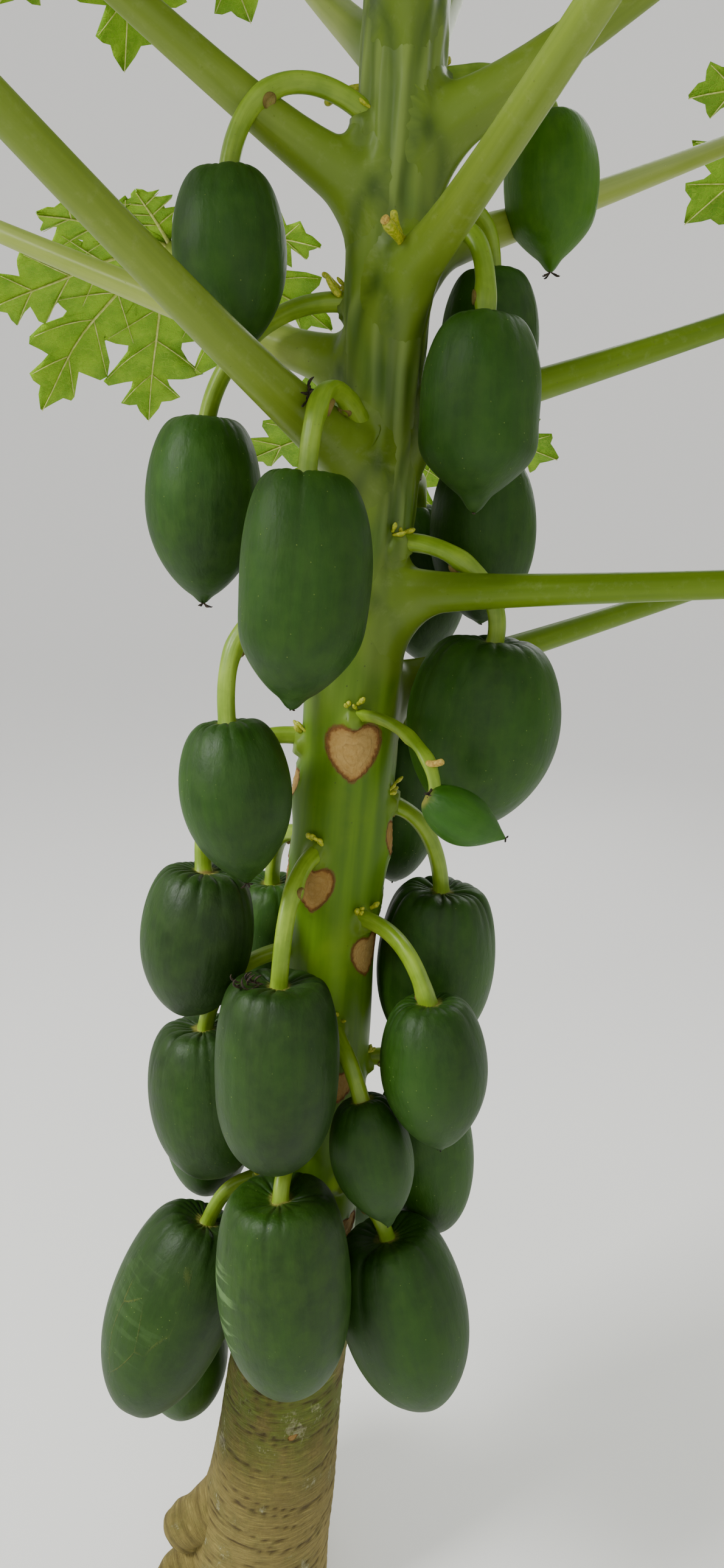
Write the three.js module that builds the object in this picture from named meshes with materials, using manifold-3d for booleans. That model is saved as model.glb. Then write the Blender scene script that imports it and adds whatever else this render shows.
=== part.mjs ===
// Papaya tree: one leaning trunk, a spiral of long-stalked lobed leaves, and fruit hanging on the trunk.
// Units are millimetres, +Z is up, and the origin is the middle of the flat cut at ground level.
// Places round the trunk are told by a turn in degrees: 0 is the front (-Y), 90 is +X, 180 the back.
import * as THREE from "three";
import { mergeVertices } from "three/addons/utils/BufferGeometryUtils.js";
import Module from "manifold-3d";

const wasm = await Module();
wasm.setup();

const GAP = 0.35; // clearance between neighbouring solids
const INSET = 0.45; // how deep a limb starts inside the trunk, as a share of the trunk's radius

// Trunk: height, sideways place of its centre line, and radius, from the root flare to the growing tip.
const TRUNK = [
  { height: 0, side: 0, radius: 97 },
  { height: 110, side: 18, radius: 87 },
  { height: 220, side: 36, radius: 79 },
  { height: 380, side: 56, radius: 70 },
  { height: 560, side: 76, radius: 62 },
  { height: 770, side: 97, radius: 54 },
  { height: 1100, side: 128, radius: 47.5 },
  { height: 1210, side: 134.5, radius: 46 },
  { height: 1430, side: 160, radius: 38 },
  { height: 1760, side: 184, radius: 35 },
  { height: 2000, side: 196, radius: 27 },
  { height: 2200, side: 205, radius: 16 },
];
const TRUNK_SIDES = 18;
const TRUNK_STEP = 88; // height of one band of the trunk's mesh
const TIP_LENGTH = 46; // the rounded growing point above the last station
const RIB_WIDTH = 32; // degrees that the rib under a leaf's base takes of the trunk's girth
const RIB_LENGTH = 150; // how far that rib runs down the trunk
const RIB_HEIGHT = 8; // where the trunk's radius is RIB_TRUNK, and in proportion elsewhere
const RIB_TRUNK = 38;

// Roots that show above the ground: turn, height where they leave the flare, reach, radius.
const ROOTS = [
  { turn: -80, height: 145, reach: 149, foot: 92, radius: 31 },
  { turn: -72, height: 62, reach: 155, foot: 31, radius: 28 },
  { turn: 128, height: 60, reach: 118, foot: 34, radius: 17 },
];

// Leaves from the lowest to the youngest: height and turn on the trunk, rise of the stalk in degrees,
// stalk length, blade reach, and how steeply the blade hangs. stout marks the stalks that are thicker.
const LEAVES = [
  { height: 1201, turn: 118, rise: 11, stalk: 780, span: 330, hang: 34 },
  { height: 1302, turn: 62, rise: 5, stalk: 780, span: 330, hang: 36 },
  { height: 1345, turn: 176, rise: 12, stalk: 800, span: 330, hang: 34 },
  { height: 1430, turn: -43, rise: 36, stalk: 830, span: 340, hang: 26, stout: 1.2 },
  { height: 1463, turn: 110, rise: 17, stalk: 820, span: 335, hang: 32 },
  { height: 1490, turn: -158, rise: 18, stalk: 820, span: 340, hang: 30 },
  { height: 1510, turn: -117, rise: 21, stalk: 820, span: 340, hang: 36 },
  { height: 1582, turn: 25, rise: 29, stalk: 840, span: 345, hang: 26 },
  { height: 1611, turn: 130, rise: 20, stalk: 820, span: 345, hang: 38 },
  { height: 1658, turn: -76, rise: 38, stalk: 820, span: 345, hang: 24, stout: 1.08 },
  { height: 1703, turn: 75, rise: 33, stalk: 820, span: 345, hang: 26, stout: 1.08 },
  { height: 1770, turn: -155, rise: 37, stalk: 820, span: 340, hang: 24 },
  { height: 1776, turn: 158, rise: 50, stalk: 800, span: 335, hang: 20 },
  { height: 1800, turn: -3, rise: 47, stalk: 800, span: 335, hang: 20 },
  { height: 1850, turn: -62, rise: 45, stalk: 790, span: 330, hang: 18 },
  { height: 1880, turn: -122, rise: 50, stalk: 770, span: 325, hang: 18 },
  { height: 1910, turn: 50, rise: 50, stalk: 750, span: 320, hang: 16 },
  { height: 1950, turn: 116, rise: 50, stalk: 730, span: 310, hang: 16 },
  { height: 1985, turn: -34, rise: 54, stalk: 690, span: 295, hang: 12 },
  { height: 2020, turn: -96, rise: 57, stalk: 650, span: 280, hang: 8 },
  { height: 2055, turn: 176, rise: 60, stalk: 610, span: 265, hang: 4 },
  { height: 2085, turn: 32, rise: 62, stalk: 570, span: 245, hang: 0 },
  { height: 2115, turn: 95, rise: 66, stalk: 500, span: 206, hang: -14 },
  { height: 2145, turn: -140, rise: 71, stalk: 400, span: 190, hang: -16 },
  { height: 2172, turn: -60, rise: 70, stalk: 380, span: 170, hang: -14 },
  { height: 2198, turn: 142, rise: 73, stalk: 310, span: 140, hang: -20 },
  { height: 2218, turn: 0, rise: 77, stalk: 230, span: 105, hang: -30 },
];
const STALK_SIDES = 5;
const STALK_RINGS = [0, 0.05, 0.14, 0.4, 1]; // shares of a leaf stalk's length
const ELBOW_REACH = 70; // a leaf stalk leaves the trunk level and turns upward this far from its centre
const FULL_STALK = 850; // a stalk of this length has the full thickness
const STALK_TIP = 8.5; // half width at the hub, what the taper adds to it, and what the base adds
const STALK_TAPER = 9;
const STALK_BASE = 9;
const STALK_FLARE = 1.45; // how much taller than wide the clasping base is
const BLADE_THICKNESS = 7;
const LOBE_TURNS = [0, 37, 74, 113, 150];
const LOBE_REACH = [1, 0.97, 0.86, 0.68, 0.44];
const SMALL_LOBE_TURN = 90; // lobes turned further back than this have no notches
const SINUS_REACH = 0.32;
const BACK_NOTCH = 0.07;
const DROOP = 0.3; // how far the lobe tips hang below the hub, as a share of the span

// Fruit from the top down. at: distance from the trunk's centre line, turn, height of the stalk end.
// size: length, girth. lean: degrees out of plumb, and the turn that the tip leans to.
// root: height and turn where the fruit stalk leaves the trunk, and how far it arches up. Where it takes
// its own way, bend gives the two inner corners of its curve instead: reach, turn and height.
// full: below 0.5 a blunt barrel, above 0.6 a pointed drop. belly: how much fuller its lower part is.
const FRUIT = [
  { at: [165, 120, 1736], size: [130, 90], lean: [5, 20], root: [1742, 112, 26], full: 0.6, belly: 0.13 },
  {
    at: [155, -71, 1659], size: [145, 99], lean: [5, 15], root: [1701, -62], full: 0.58,
    bend: [[83, -65, 1752], [151, -71, 1743]],
  },
  { at: [105, 112, 1595], size: [130, 93], lean: [2, -30], root: [1640, 112, 18], full: 0.56, belly: 0.1 },
  { at: [104, 54, 1543], size: [154, 105], lean: [6, -20], root: [1608, 62, 22], full: 0.55, belly: 0.22 },
  { at: [118, 178, 1545], size: [140, 92], lean: [3, 178], root: [1580, 178, 12], full: 0.56 },
  {
    at: [168, -96, 1461], size: [168, 114], lean: [5, -30], root: [1561, -104], full: 0.56,
    bend: [[99, -97, 1585], [164, -96, 1523]],
  },
  { at: [124, 117, 1424], size: [160, 108], lean: [1, -15], root: [1446, 128, 8], full: 0.52 },
  {
    at: [138, -25, 1411], size: [190, 114], lean: [8, -35], root: [1444, -28], full: 0.5, belly: 0.12,
    bend: [[101, -27, 1509], [138, -25, 1497]],
  },
  { at: [159, 160, 1373], size: [168, 106], lean: [3, 90], root: [1405, 146, 10], full: 0.55 },
  {
    at: [138, 75, 1256], size: [187, 150], lean: [6, -66], root: [1346, 46], full: 0.55,
    bend: [[76, 61, 1366], [153, 76, 1313]],
  },
  { at: [120, -172, 1262], size: [142, 96], lean: [3, 180], root: [1300, -172, 12], full: 0.56 },
  { at: [140, -54, 1187], size: [152, 107], lean: [10, 35], root: [1292, -60, 8], full: 0.57 },
  { at: [108, 146, 1140], size: [182, 102], lean: [3, -120], root: [1200, 140, 6], full: 0.52 },
  {
    at: [180, 24, 1141], size: [81, 50], lean: [61, 90], root: [1181, 7], full: 0.8,
    bend: [[118, 18, 1209], [176, 28, 1181]],
  },
  {
    at: [144, -70, 1024], size: [156, 117], lean: [9, -58], root: [1149, -79], full: 0.5,
    bend: [[113, -92, 1180], [157, -87, 1116]],
  },
  {
    at: [116, 94, 979], size: [190, 129], lean: [5, -60], root: [1084, 87], full: 0.47,
    bend: [[86, 93, 1087], [110, 94, 1024]],
  },
  { at: [114, -140, 956], size: [186, 106], lean: [2, -140], root: [1030, -138, 6], full: 0.5 },
  {
    at: [130, -22, 931], size: [193, 126], lean: [7, -15], root: [1038, -30], full: 0.42,
    bend: [[94, -31, 1054], [126, -23, 1002]],
  },
  {
    at: [152, 43, 908], size: [156, 109], lean: [7, 38], root: [963, 41], full: 0.57,
    bend: [[102, 38, 985], [140, 37, 958]],
  },
  {
    at: [132, -78, 833], size: [175, 128], lean: [6, 20], root: [918, -86], full: 0.48,
    bend: [[101, -81, 922], [132, -78, 875]],
  },
  { at: [115, 24, 793], size: [135, 86], lean: [16, 50], root: [842, 12, 4], full: 0.64 },
  { at: [122, -178, 792], size: [162, 104], lean: [2, 180], root: [850, -176, 6], full: 0.52 },
  { at: [118, 92, 740], size: [193, 110], lean: [6, 90], root: [772, 98, 12], full: 0.48 },
  { at: [145, -117, 739], size: [186, 111], lean: [3, -90], root: [800, -124, 6], full: 0.48 },
  { at: [134, -12, 692], size: [221, 140], lean: [6, 20], root: [718, -14, 4], full: 0.42 },
  { at: [122, 150, 636], size: [172, 112], lean: [3, 150], root: [690, 146, 6], full: 0.5 },
  { at: [125, 48, 606], size: [205, 140], lean: [15, 64], root: [650, 40, 4], full: 0.46 },
  { at: [116, -74, 585], size: [238, 146], lean: [26, -58], root: [632, -78, 4], full: 0.5 },
  { at: [152, -112, 402], size: [190, 116], lean: [3, -112], root: [450, -122, 8], full: 0.48 },
];
const FRUIT_SIDES = 10;
const FRUIT_BANDS = [0.012, 0.09, 0.42, 0.74, 0.93]; // shares of the fruit's length, from its shoulder
const FRUIT_SHOULDER = 0.85; // below 1 the widest band sits above the middle
const CROWN_POWER = (full) => 1.05 * full - 0.29; // power of the profile's sine at the shoulder
const TIP_POWER = (full) => 1.6 * full - 0.31; // and at the tip
const BELLY_AT = 0.78; // share of the length where a belly stands out most, and how far it spreads
const BELLY_SPREAD = 0.16;
const CROWN_DIP = 0.045; // how far the shoulder stands above the stalk's end, as a share of the length
const PEDUNCLE_RADIUS = 8.5;
const PEDUNCLE_SIDES = 5;
const PEDUNCLE_STEPS = 5;
const PEDUNCLE_SINK = 8;

const BARK = new THREE.MeshStandardMaterial({ color: 0x8d8a62, roughness: 0.85, metalness: 0 });
const LEAF = new THREE.MeshStandardMaterial({ color: 0x4f8a24, roughness: 0.6, metalness: 0 });
const RIND = new THREE.MeshStandardMaterial({ color: 0x2f5a2a, roughness: 0.5, metalness: 0 });

const UP = new THREE.Vector3(0, 0, 1);
const radians = THREE.MathUtils.degToRad;

// The level direction that a turn names.
function outward(turn) {
  return new THREE.Vector3(Math.sin(radians(turn)), -Math.cos(radians(turn)), 0);
}

// A smooth value between the trunk's stations.
function between(height, key) {
  const last = TRUNK.length - 1;
  const found = TRUNK.findIndex((station, i) => i < last && height <= TRUNK[i + 1].height);
  const i = found < 0 ? last - 1 : found;
  const [a, b] = [TRUNK[i], TRUNK[i + 1]];
  const [before, after] = [TRUNK[Math.max(i - 1, 0)], TRUNK[Math.min(i + 2, last)]];
  const slopeA = (b[key] - before[key]) / (b.height - before.height);
  const slopeB = (after[key] - a[key]) / (after.height - a.height);
  const width = b.height - a.height;
  const t = THREE.MathUtils.clamp((height - a.height) / width, 0, 1);
  const rise = slopeA * width * (t ** 3 - 2 * t ** 2 + t) + slopeB * width * (t ** 3 - t ** 2);
  return a[key] * (2 * t ** 3 - 3 * t ** 2 + 1) + b[key] * (3 * t ** 2 - 2 * t ** 3) + rise;
}

function trunkAxis(height) {
  return new THREE.Vector3(between(height, "side"), 0, height);
}

// The rib under each leaf base: it swells at the base and fades down the trunk.
function rib(height, turn) {
  let swell = 0;
  for (const leaf of LEAVES) {
    const down = (leaf.height - height) / RIB_LENGTH;
    const across = Math.abs(((turn - leaf.turn + 540) % 360) - 180) / RIB_WIDTH;
    const along = down < 0 ? Math.exp(-((down * 5) ** 2)) : Math.exp(-(down ** 2));
    swell = Math.max(swell, RIB_HEIGHT * along * Math.exp(-(across ** 2)));
  }
  return swell * (between(height, "radius") / RIB_TRUNK);
}

// The volume inside a closed mesh tells which way its faces point; they are turned outward.
function pointOutward(geometry) {
  const place = geometry.attributes.position;
  const index = geometry.index.array;
  const [a, b, c] = [new THREE.Vector3(), new THREE.Vector3(), new THREE.Vector3()];
  let volume = 0;
  for (let i = 0; i < index.length; i += 3) {
    a.fromBufferAttribute(place, index[i]);
    b.fromBufferAttribute(place, index[i + 1]);
    c.fromBufferAttribute(place, index[i + 2]);
    volume += a.dot(b.cross(c));
  }
  if (volume < 0) {
    for (let i = 0; i < index.length; i += 3) {
      [index[i], index[i + 1]] = [index[i + 1], index[i]];
    }
  }
  return geometry;
}

function toSolid(geometry) {
  geometry.deleteAttribute("normal");
  geometry.deleteAttribute("uv");
  const merged = pointOutward(mergeVertices(geometry, 1e-5));
  const vertProperties = new Float32Array(merged.attributes.position.array);
  const triVerts = new Uint32Array(merged.index.array);
  return new wasm.Manifold(new wasm.Mesh({ numProp: 3, vertProperties, triVerts }));
}

function toMesh(solid, name, material) {
  const { vertProperties, triVerts } = solid.getMesh();
  const geometry = new THREE.BufferGeometry();
  geometry.setAttribute("position", new THREE.BufferAttribute(new Float32Array(vertProperties), 3));
  geometry.setIndex(new THREE.BufferAttribute(new Uint32Array(triVerts), 1));
  geometry.computeVertexNormals();
  const mesh = new THREE.Mesh(geometry, material.clone());
  mesh.name = name;
  return mesh;
}

// A ring of few sides is drawn this much larger, so that it holds the area of the round one.
function evenArea(sides) {
  const corner = (2 * Math.PI) / sides;
  return Math.sqrt(corner / Math.sin(corner));
}

// A round limb: a lathe of unit height whose rings are carried along a curve. rings lists shares of the
// curve's length, and size(t, angle) gives the half width across and the half height along the upper side.
function limb(curve, rings, sides, side, size) {
  const profile = [new THREE.Vector2(0, rings[0])];
  for (const t of rings) profile.push(new THREE.Vector2(1, t));
  profile.push(new THREE.Vector2(0, rings[rings.length - 1]));
  const lathe = new THREE.LatheGeometry(profile, sides);
  const place = lathe.attributes.position;
  const swell = evenArea(sides);
  const [point, along, across, above] = [0, 1, 2, 3].map(() => new THREE.Vector3());
  for (let i = 0; i < place.count; i += 1) {
    const [x, t, z] = [place.getX(i), place.getY(i), place.getZ(i)];
    const [width, height] = size(t, Math.atan2(z, x));
    curve.getPointAt(t, point);
    curve.getTangentAt(t, along);
    across.copy(side).addScaledVector(along, -side.dot(along)).normalize();
    above.crossVectors(across, along);
    point.addScaledVector(across, x * width * swell).addScaledVector(above, z * height * swell);
    place.setXYZ(i, point.x, point.y, point.z);
  }
  return toSolid(lathe);
}

function steps(count) {
  return Array.from({ length: count + 1 }, (value, i) => i / count);
}

// The trunk's rings lie level, so its mesh is a lathe bent along the centre line.
function trunkSolid(grow) {
  const top = TRUNK[TRUNK.length - 1].height;
  const heights = steps(Math.round(top / TRUNK_STEP)).map((t) => t * top);
  const tip = [0.45, 0.8].map((t) => top + t * TIP_LENGTH);
  const profile = [new THREE.Vector2(0, 0)];
  for (const height of [...heights, ...tip]) profile.push(new THREE.Vector2(1, height));
  profile.push(new THREE.Vector2(0, top + TIP_LENGTH));
  const lathe = new THREE.LatheGeometry(profile, TRUNK_SIDES);
  const place = lathe.attributes.position;
  for (let i = 0; i < place.count; i += 1) {
    const [x, height, z] = [place.getX(i), place.getY(i), place.getZ(i)];
    const turn = THREE.MathUtils.radToDeg(Math.atan2(x, -z));
    const cap = Math.sqrt(Math.max(0, 1 - (Math.max(0, height - top) / TIP_LENGTH) ** 2));
    const radius = (between(height, "radius") + rib(height, turn)) * cap + grow;
    place.setXYZ(i, between(height, "side") + x * radius, z * radius, height);
  }
  return toSolid(lathe);
}

// A root knuckle: a stub that leaves the flare and bends down, rounded at its end.
function rootSolid(root) {
  const start = trunkAxis(root.height).addScaledVector(outward(root.turn), 40);
  const end = trunkAxis(root.foot).addScaledVector(outward(root.turn), root.reach - root.radius);
  const middle = start.clone().lerp(end, 0.55).addScaledVector(UP, root.radius * 0.35);
  const curve = new THREE.QuadraticBezierCurve3(start, middle, end);
  const round = (t) => root.radius * (t < 0.7 ? 1 : Math.sqrt(1 - ((t - 0.7) / 0.31) ** 2));
  const rings = [0, 0.4, 0.7, 0.86, 0.95, 1];
  return limb(curve, rings, 8, outward(root.turn + 90), (t) => [round(t), round(t)]);
}

function trunk() {
  let solid = trunkSolid(0);
  for (const root of ROOTS) solid = solid.add(rootSolid(root));
  return solid;
}

// A leaf stalk leaves the trunk level, turns up at the elbow and runs straight to the blade's hub.
function leafStalkCurve(leaf) {
  const out = outward(leaf.turn);
  const start = trunkAxis(leaf.height).addScaledVector(out, between(leaf.height, "radius") * INSET);
  const elbow = trunkAxis(leaf.height).addScaledVector(out, ELBOW_REACH * leafScale(leaf));
  const way = out.clone().multiplyScalar(Math.cos(radians(leaf.rise)));
  way.addScaledVector(UP, Math.sin(radians(leaf.rise)));
  const knee = elbow.clone().addScaledVector(way, leaf.stalk * 0.3);
  const end = elbow.clone().addScaledVector(way, leaf.stalk);
  return new THREE.CubicBezierCurve3(start, elbow, knee, end);
}

function leafScale(leaf) {
  return Math.sqrt(Math.min(1, leaf.stalk / FULL_STALK));
}

// Half width of a leaf stalk: a clasping base, then an even taper to the hub.
function leafStalkRadius(leaf, t) {
  const taper = STALK_TIP + STALK_TAPER * (1 - t) ** 1.5 + STALK_BASE * Math.exp(-t * 16);
  return taper * leafScale(leaf) * (leaf.stout ?? 1);
}

function leafStalk(leaf, grow) {
  const size = (t) => {
    const radius = leafStalkRadius(leaf, t);
    const tall = 1 + (STALK_FLARE - 1) * Math.exp(-t * 20);
    return [radius + grow, radius * tall + grow];
  };
  return limb(leafStalkCurve(leaf), STALK_RINGS, STALK_SIDES, outward(leaf.turn + 90), size);
}

// The lobes of a blade, from the right-hand one round to the left-hand one.
function lobesOf(leaf) {
  const pairs = leaf.span > 300 ? 4 : leaf.span > 200 ? 3 : 2;
  const lobes = [];
  for (let i = -pairs; i <= pairs; i += 1) {
    const side = Math.sign(i);
    lobes.push({ turn: side * LOBE_TURNS[Math.abs(i)], reach: LOBE_REACH[Math.abs(i)] });
  }
  return lobes;
}

// A blade is an umbrella of lobes that hang from the hub. Each half lobe runs from the sinus out to one
// side tooth, back in to a notch and out to the tip, and folds up a little from the lobe's rib.
function blade(leaf) {
  const hub = leafStalkCurve(leaf).getPoint(1);
  const hang = radians(leaf.hang);
  const out = outward(leaf.turn);
  const ahead = out.clone().multiplyScalar(Math.cos(hang)).addScaledVector(UP, -Math.sin(hang));
  const left = outward(leaf.turn + 90);
  const above = UP.clone().multiplyScalar(Math.cos(hang)).addScaledVector(out, Math.sin(hang));
  const lobes = lobesOf(leaf);
  const top = [];
  const faces = [];
  const rim = [];
  const add = (reach, turn, lift) => {
    const r = reach * leaf.span;
    const place = hub.clone();
    place.addScaledVector(ahead, r * Math.cos(radians(turn)));
    place.addScaledVector(left, r * Math.sin(radians(turn)));
    place.addScaledVector(above, (lift - DROOP * reach ** 2) * leaf.span);
    return top.push(place) - 1;
  };
  const back = add(BACK_NOTCH, 180, 0);
  let sinus = back;
  lobes.forEach((lobe, i) => {
    const next = lobes[i + 1];
    const start = sinus;
    const [turn, reach] = [lobe.turn, lobe.reach];
    const inner = add(0.42 * reach, turn, -0.02);
    const tip = add(reach, turn, 0);
    const tooth = [-1, 1].map((side) => add(0.68 * reach, turn + side * 15, 0.015));
    sinus = next ? add(SINUS_REACH * Math.min(reach, next.reach), (turn + next.turn) / 2, 0.01) : back;
    faces.push([start, inner, sinus], [inner, start, tooth[0]], [inner, tooth[1], sinus]);
    if (start !== back && sinus !== back) faces.push([back, start, sinus]);
    if (Math.abs(turn) > SMALL_LOBE_TURN) {
      faces.push([inner, tooth[0], tip], [inner, tip, tooth[1]]);
      rim.push(start, tooth[0], tip, tooth[1]);
      return;
    }
    const notch = [-1, 1].map((side) => add(0.66 * reach, turn + side * 6, 0.005));
    faces.push([inner, tooth[0], notch[0]], [inner, notch[0], tip]);
    faces.push([inner, notch[1], tooth[1]], [inner, tip, notch[1]]);
    rim.push(start, tooth[0], notch[0], tip, notch[1], tooth[1]);
  });
  const count = top.length;
  const bottom = top.map((place) => place.clone().addScaledVector(above, -BLADE_THICKNESS));
  const index = faces.flat();
  for (const [a, b, c] of faces) index.push(a + count, c + count, b + count);
  rim.forEach((a, i) => {
    const b = rim[(i + 1) % rim.length];
    index.push(a, a + count, b, b, a + count, b + count);
  });
  const geometry = new THREE.BufferGeometry().setFromPoints([...top, ...bottom]);
  geometry.setIndex(index);
  return toSolid(geometry);
}

// A place told by its distance from the trunk's centre line, turn and height.
function besideTrunk([reach, turn, height]) {
  return trunkAxis(height).addScaledVector(outward(turn), reach);
}

// Where the fruit stalk ends, and the way down the middle of the fruit.
function fruitFrame(fruit) {
  const [tilt, toward] = fruit.lean;
  const crown = besideTrunk(fruit.at);
  const down = outward(toward).multiplyScalar(Math.sin(radians(tilt)));
  down.addScaledVector(UP, -Math.cos(radians(tilt)));
  return { crown, down };
}

// The fruit stalk leaves the trunk level, arches over and drops into the crown of the fruit.
function peduncleCurve(fruit) {
  const { crown, down } = fruitFrame(fruit);
  const [height, turn, arch] = fruit.root;
  const start = besideTrunk([between(height, "radius") * INSET, turn, height]);
  const end = crown.clone().addScaledVector(down, PEDUNCLE_SINK);
  if (fruit.bend) {
    const [first, second] = fruit.bend.map(besideTrunk);
    return new THREE.CubicBezierCurve3(start, first, second, end);
  }
  const shoulder = start.clone().addScaledVector(outward(turn), fruit.at[0] * 0.5).addScaledVector(UP, arch);
  const drop = Math.max(height + arch - crown.z, 14);
  const above = crown.clone().addScaledVector(down, -drop);
  return new THREE.CubicBezierCurve3(start, shoulder, above, end);
}

function peduncle(fruit) {
  const curve = peduncleCurve(fruit);
  const scale = Math.min(1, fruit.size[1] / 80);
  const size = (t) => {
    const radius = (PEDUNCLE_RADIUS + 4 * Math.exp(-t * 12)) * scale;
    return [radius, radius];
  };
  return limb(curve, steps(PEDUNCLE_STEPS), PEDUNCLE_SIDES, outward(fruit.root[1] + 90), size);
}

// Half the girth of a fruit at a share t of its length: a power of a sine, blunt at the shoulder.
function fruitRadius(fruit, t) {
  const power = THREE.MathUtils.lerp(CROWN_POWER(fruit.full), TIP_POWER(fruit.full), t);
  const belly = 1 + (fruit.belly ?? 0) * Math.exp(-(((t - BELLY_AT) / BELLY_SPREAD) ** 2));
  return (fruit.size[1] / 2) * Math.sin(Math.PI * t ** FRUIT_SHOULDER) ** power * belly;
}

// The fruit's skin from the hollow round the stalk, over the shoulder and down to the tip.
function fruitBody(fruit) {
  const { crown, down } = fruitFrame(fruit);
  const length = fruit.size[0];
  const dip = CROWN_DIP * length;
  const profile = [new THREE.Vector2(0, 0)];
  for (const t of FRUIT_BANDS) {
    profile.push(new THREE.Vector2(fruitRadius(fruit, t), t * (length + dip) - dip));
  }
  profile.push(new THREE.Vector2(0, length));
  const lathe = new THREE.LatheGeometry(profile, FRUIT_SIDES);
  lathe.applyQuaternion(new THREE.Quaternion().setFromUnitVectors(new THREE.Vector3(0, 1, 0), down));
  lathe.translate(crown.x, crown.y, crown.z);
  return toSolid(lathe);
}

const grownTrunk = trunkSolid(GAP);
const grownStalks = LEAVES.map((leaf) => leafStalk(leaf, GAP));
const tree = new THREE.Group();
tree.name = "papaya_tree";
tree.add(toMesh(trunk(), "trunk", BARK));

LEAVES.forEach((leaf, i) => {
  let solid = leafStalk(leaf, 0).add(blade(leaf)).subtract(grownTrunk);
  for (const lower of grownStalks.slice(0, i)) solid = solid.subtract(lower);
  tree.add(toMesh(solid, `leaf_${String(i + 1).padStart(2, "0")}`, LEAF));
});

FRUIT.forEach((fruit, i) => {
  let solid = fruitBody(fruit).add(peduncle(fruit)).subtract(grownTrunk);
  for (const stalk of grownStalks) solid = solid.subtract(stalk);
  tree.add(toMesh(solid, `fruit_${String(i + 1).padStart(2, "0")}`, RIND));
});

export default tree;
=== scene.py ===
# %% [markdown]
# # A papaya tree
# A papaya is a giant herb: one soft stem, a spiral of leaves on hollow stalks as long as an arm, and
# fruit that hangs straight on the stem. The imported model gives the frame, in metres, and every
# surface here is laid over it by the same rule that made its solids.

# %% Load the frame
from math import cos, pi, radians, sin

import bpy
import numpy as np
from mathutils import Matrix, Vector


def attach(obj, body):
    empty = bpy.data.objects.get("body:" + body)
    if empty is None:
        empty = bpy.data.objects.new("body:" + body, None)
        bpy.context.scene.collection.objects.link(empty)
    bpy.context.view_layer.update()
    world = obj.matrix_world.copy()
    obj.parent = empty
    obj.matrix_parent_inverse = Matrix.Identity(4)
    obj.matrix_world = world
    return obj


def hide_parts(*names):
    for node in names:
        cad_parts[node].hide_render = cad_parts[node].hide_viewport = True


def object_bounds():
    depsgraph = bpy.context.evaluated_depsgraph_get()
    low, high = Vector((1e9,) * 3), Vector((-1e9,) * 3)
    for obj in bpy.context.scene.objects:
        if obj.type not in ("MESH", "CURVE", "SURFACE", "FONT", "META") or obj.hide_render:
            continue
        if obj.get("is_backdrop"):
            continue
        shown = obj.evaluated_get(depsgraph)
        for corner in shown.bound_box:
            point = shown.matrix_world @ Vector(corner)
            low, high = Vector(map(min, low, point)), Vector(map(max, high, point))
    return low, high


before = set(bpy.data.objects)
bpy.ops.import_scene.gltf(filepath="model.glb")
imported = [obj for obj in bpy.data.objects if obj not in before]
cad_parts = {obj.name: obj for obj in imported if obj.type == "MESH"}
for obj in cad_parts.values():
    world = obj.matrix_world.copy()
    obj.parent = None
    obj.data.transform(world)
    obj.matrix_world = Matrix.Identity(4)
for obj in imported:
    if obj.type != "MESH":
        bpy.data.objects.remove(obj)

cad_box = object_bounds()
print("packed nodes:", len(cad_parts), "box:", [[round(v, 3) for v in corner] for corner in cad_box])

# %% [markdown]
# ## Where the eye stands
# The photograph was taken by hand, a step from the stem and about at eye level for the middle fruit,
# looking slightly down. A long side of 36 mm on the sensor and a 25 mm lens give its wide view, which
# is why the fruit at the foot looks smaller than the fruit at the top.

# %% Camera
CAMERA_AT = (0.1463, -1.0835, 1.430)
CAMERA_PITCH = 16.8  # degrees below the horizon
camera = bpy.data.cameras.new("camera")
camera.lens = 24.96
camera.sensor_width = 36
camera.clip_start = 0.02
eye = bpy.data.objects.new("camera", camera)
eye.location = CAMERA_AT
eye.rotation_euler = (radians(90 - CAMERA_PITCH), 0, 0)
bpy.context.scene.collection.objects.link(eye)
bpy.context.scene.camera = eye
print("camera at", CAMERA_AT, "pitched down", CAMERA_PITCH)

# %% [markdown]
# ## Sizes
# These tables repeat the source's, in metres. A place round the stem is a turn in degrees: 0 is the
# side that the camera sees, 90 its right, 180 the back.

# %% The stem and its roots
# height, sideways place of the centre line, radius
TRUNK = np.array([
    (0.000, 0.0000, 0.0970),
    (0.110, 0.0180, 0.0870),
    (0.220, 0.0360, 0.0790),
    (0.380, 0.0560, 0.0700),
    (0.560, 0.0760, 0.0620),
    (0.770, 0.0970, 0.0540),
    (1.100, 0.1280, 0.0475),
    (1.210, 0.1345, 0.0460),
    (1.430, 0.1600, 0.0380),
    (1.760, 0.1840, 0.0350),
    (2.000, 0.1960, 0.0270),
    (2.200, 0.2050, 0.0160),
])
SIDE, RADIUS = 1, 2
TIP_LENGTH = 0.046
INSET = 0.45  # how deep a stalk starts inside the stem, as a share of its radius
# turn, height at the flare, reach, height of the end, radius
ROOTS = [
    (-80, 0.145, 0.149, 0.092, 0.031),
    (-72, 0.062, 0.155, 0.031, 0.028),
    (128, 0.060, 0.118, 0.034, 0.017),
]

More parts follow.
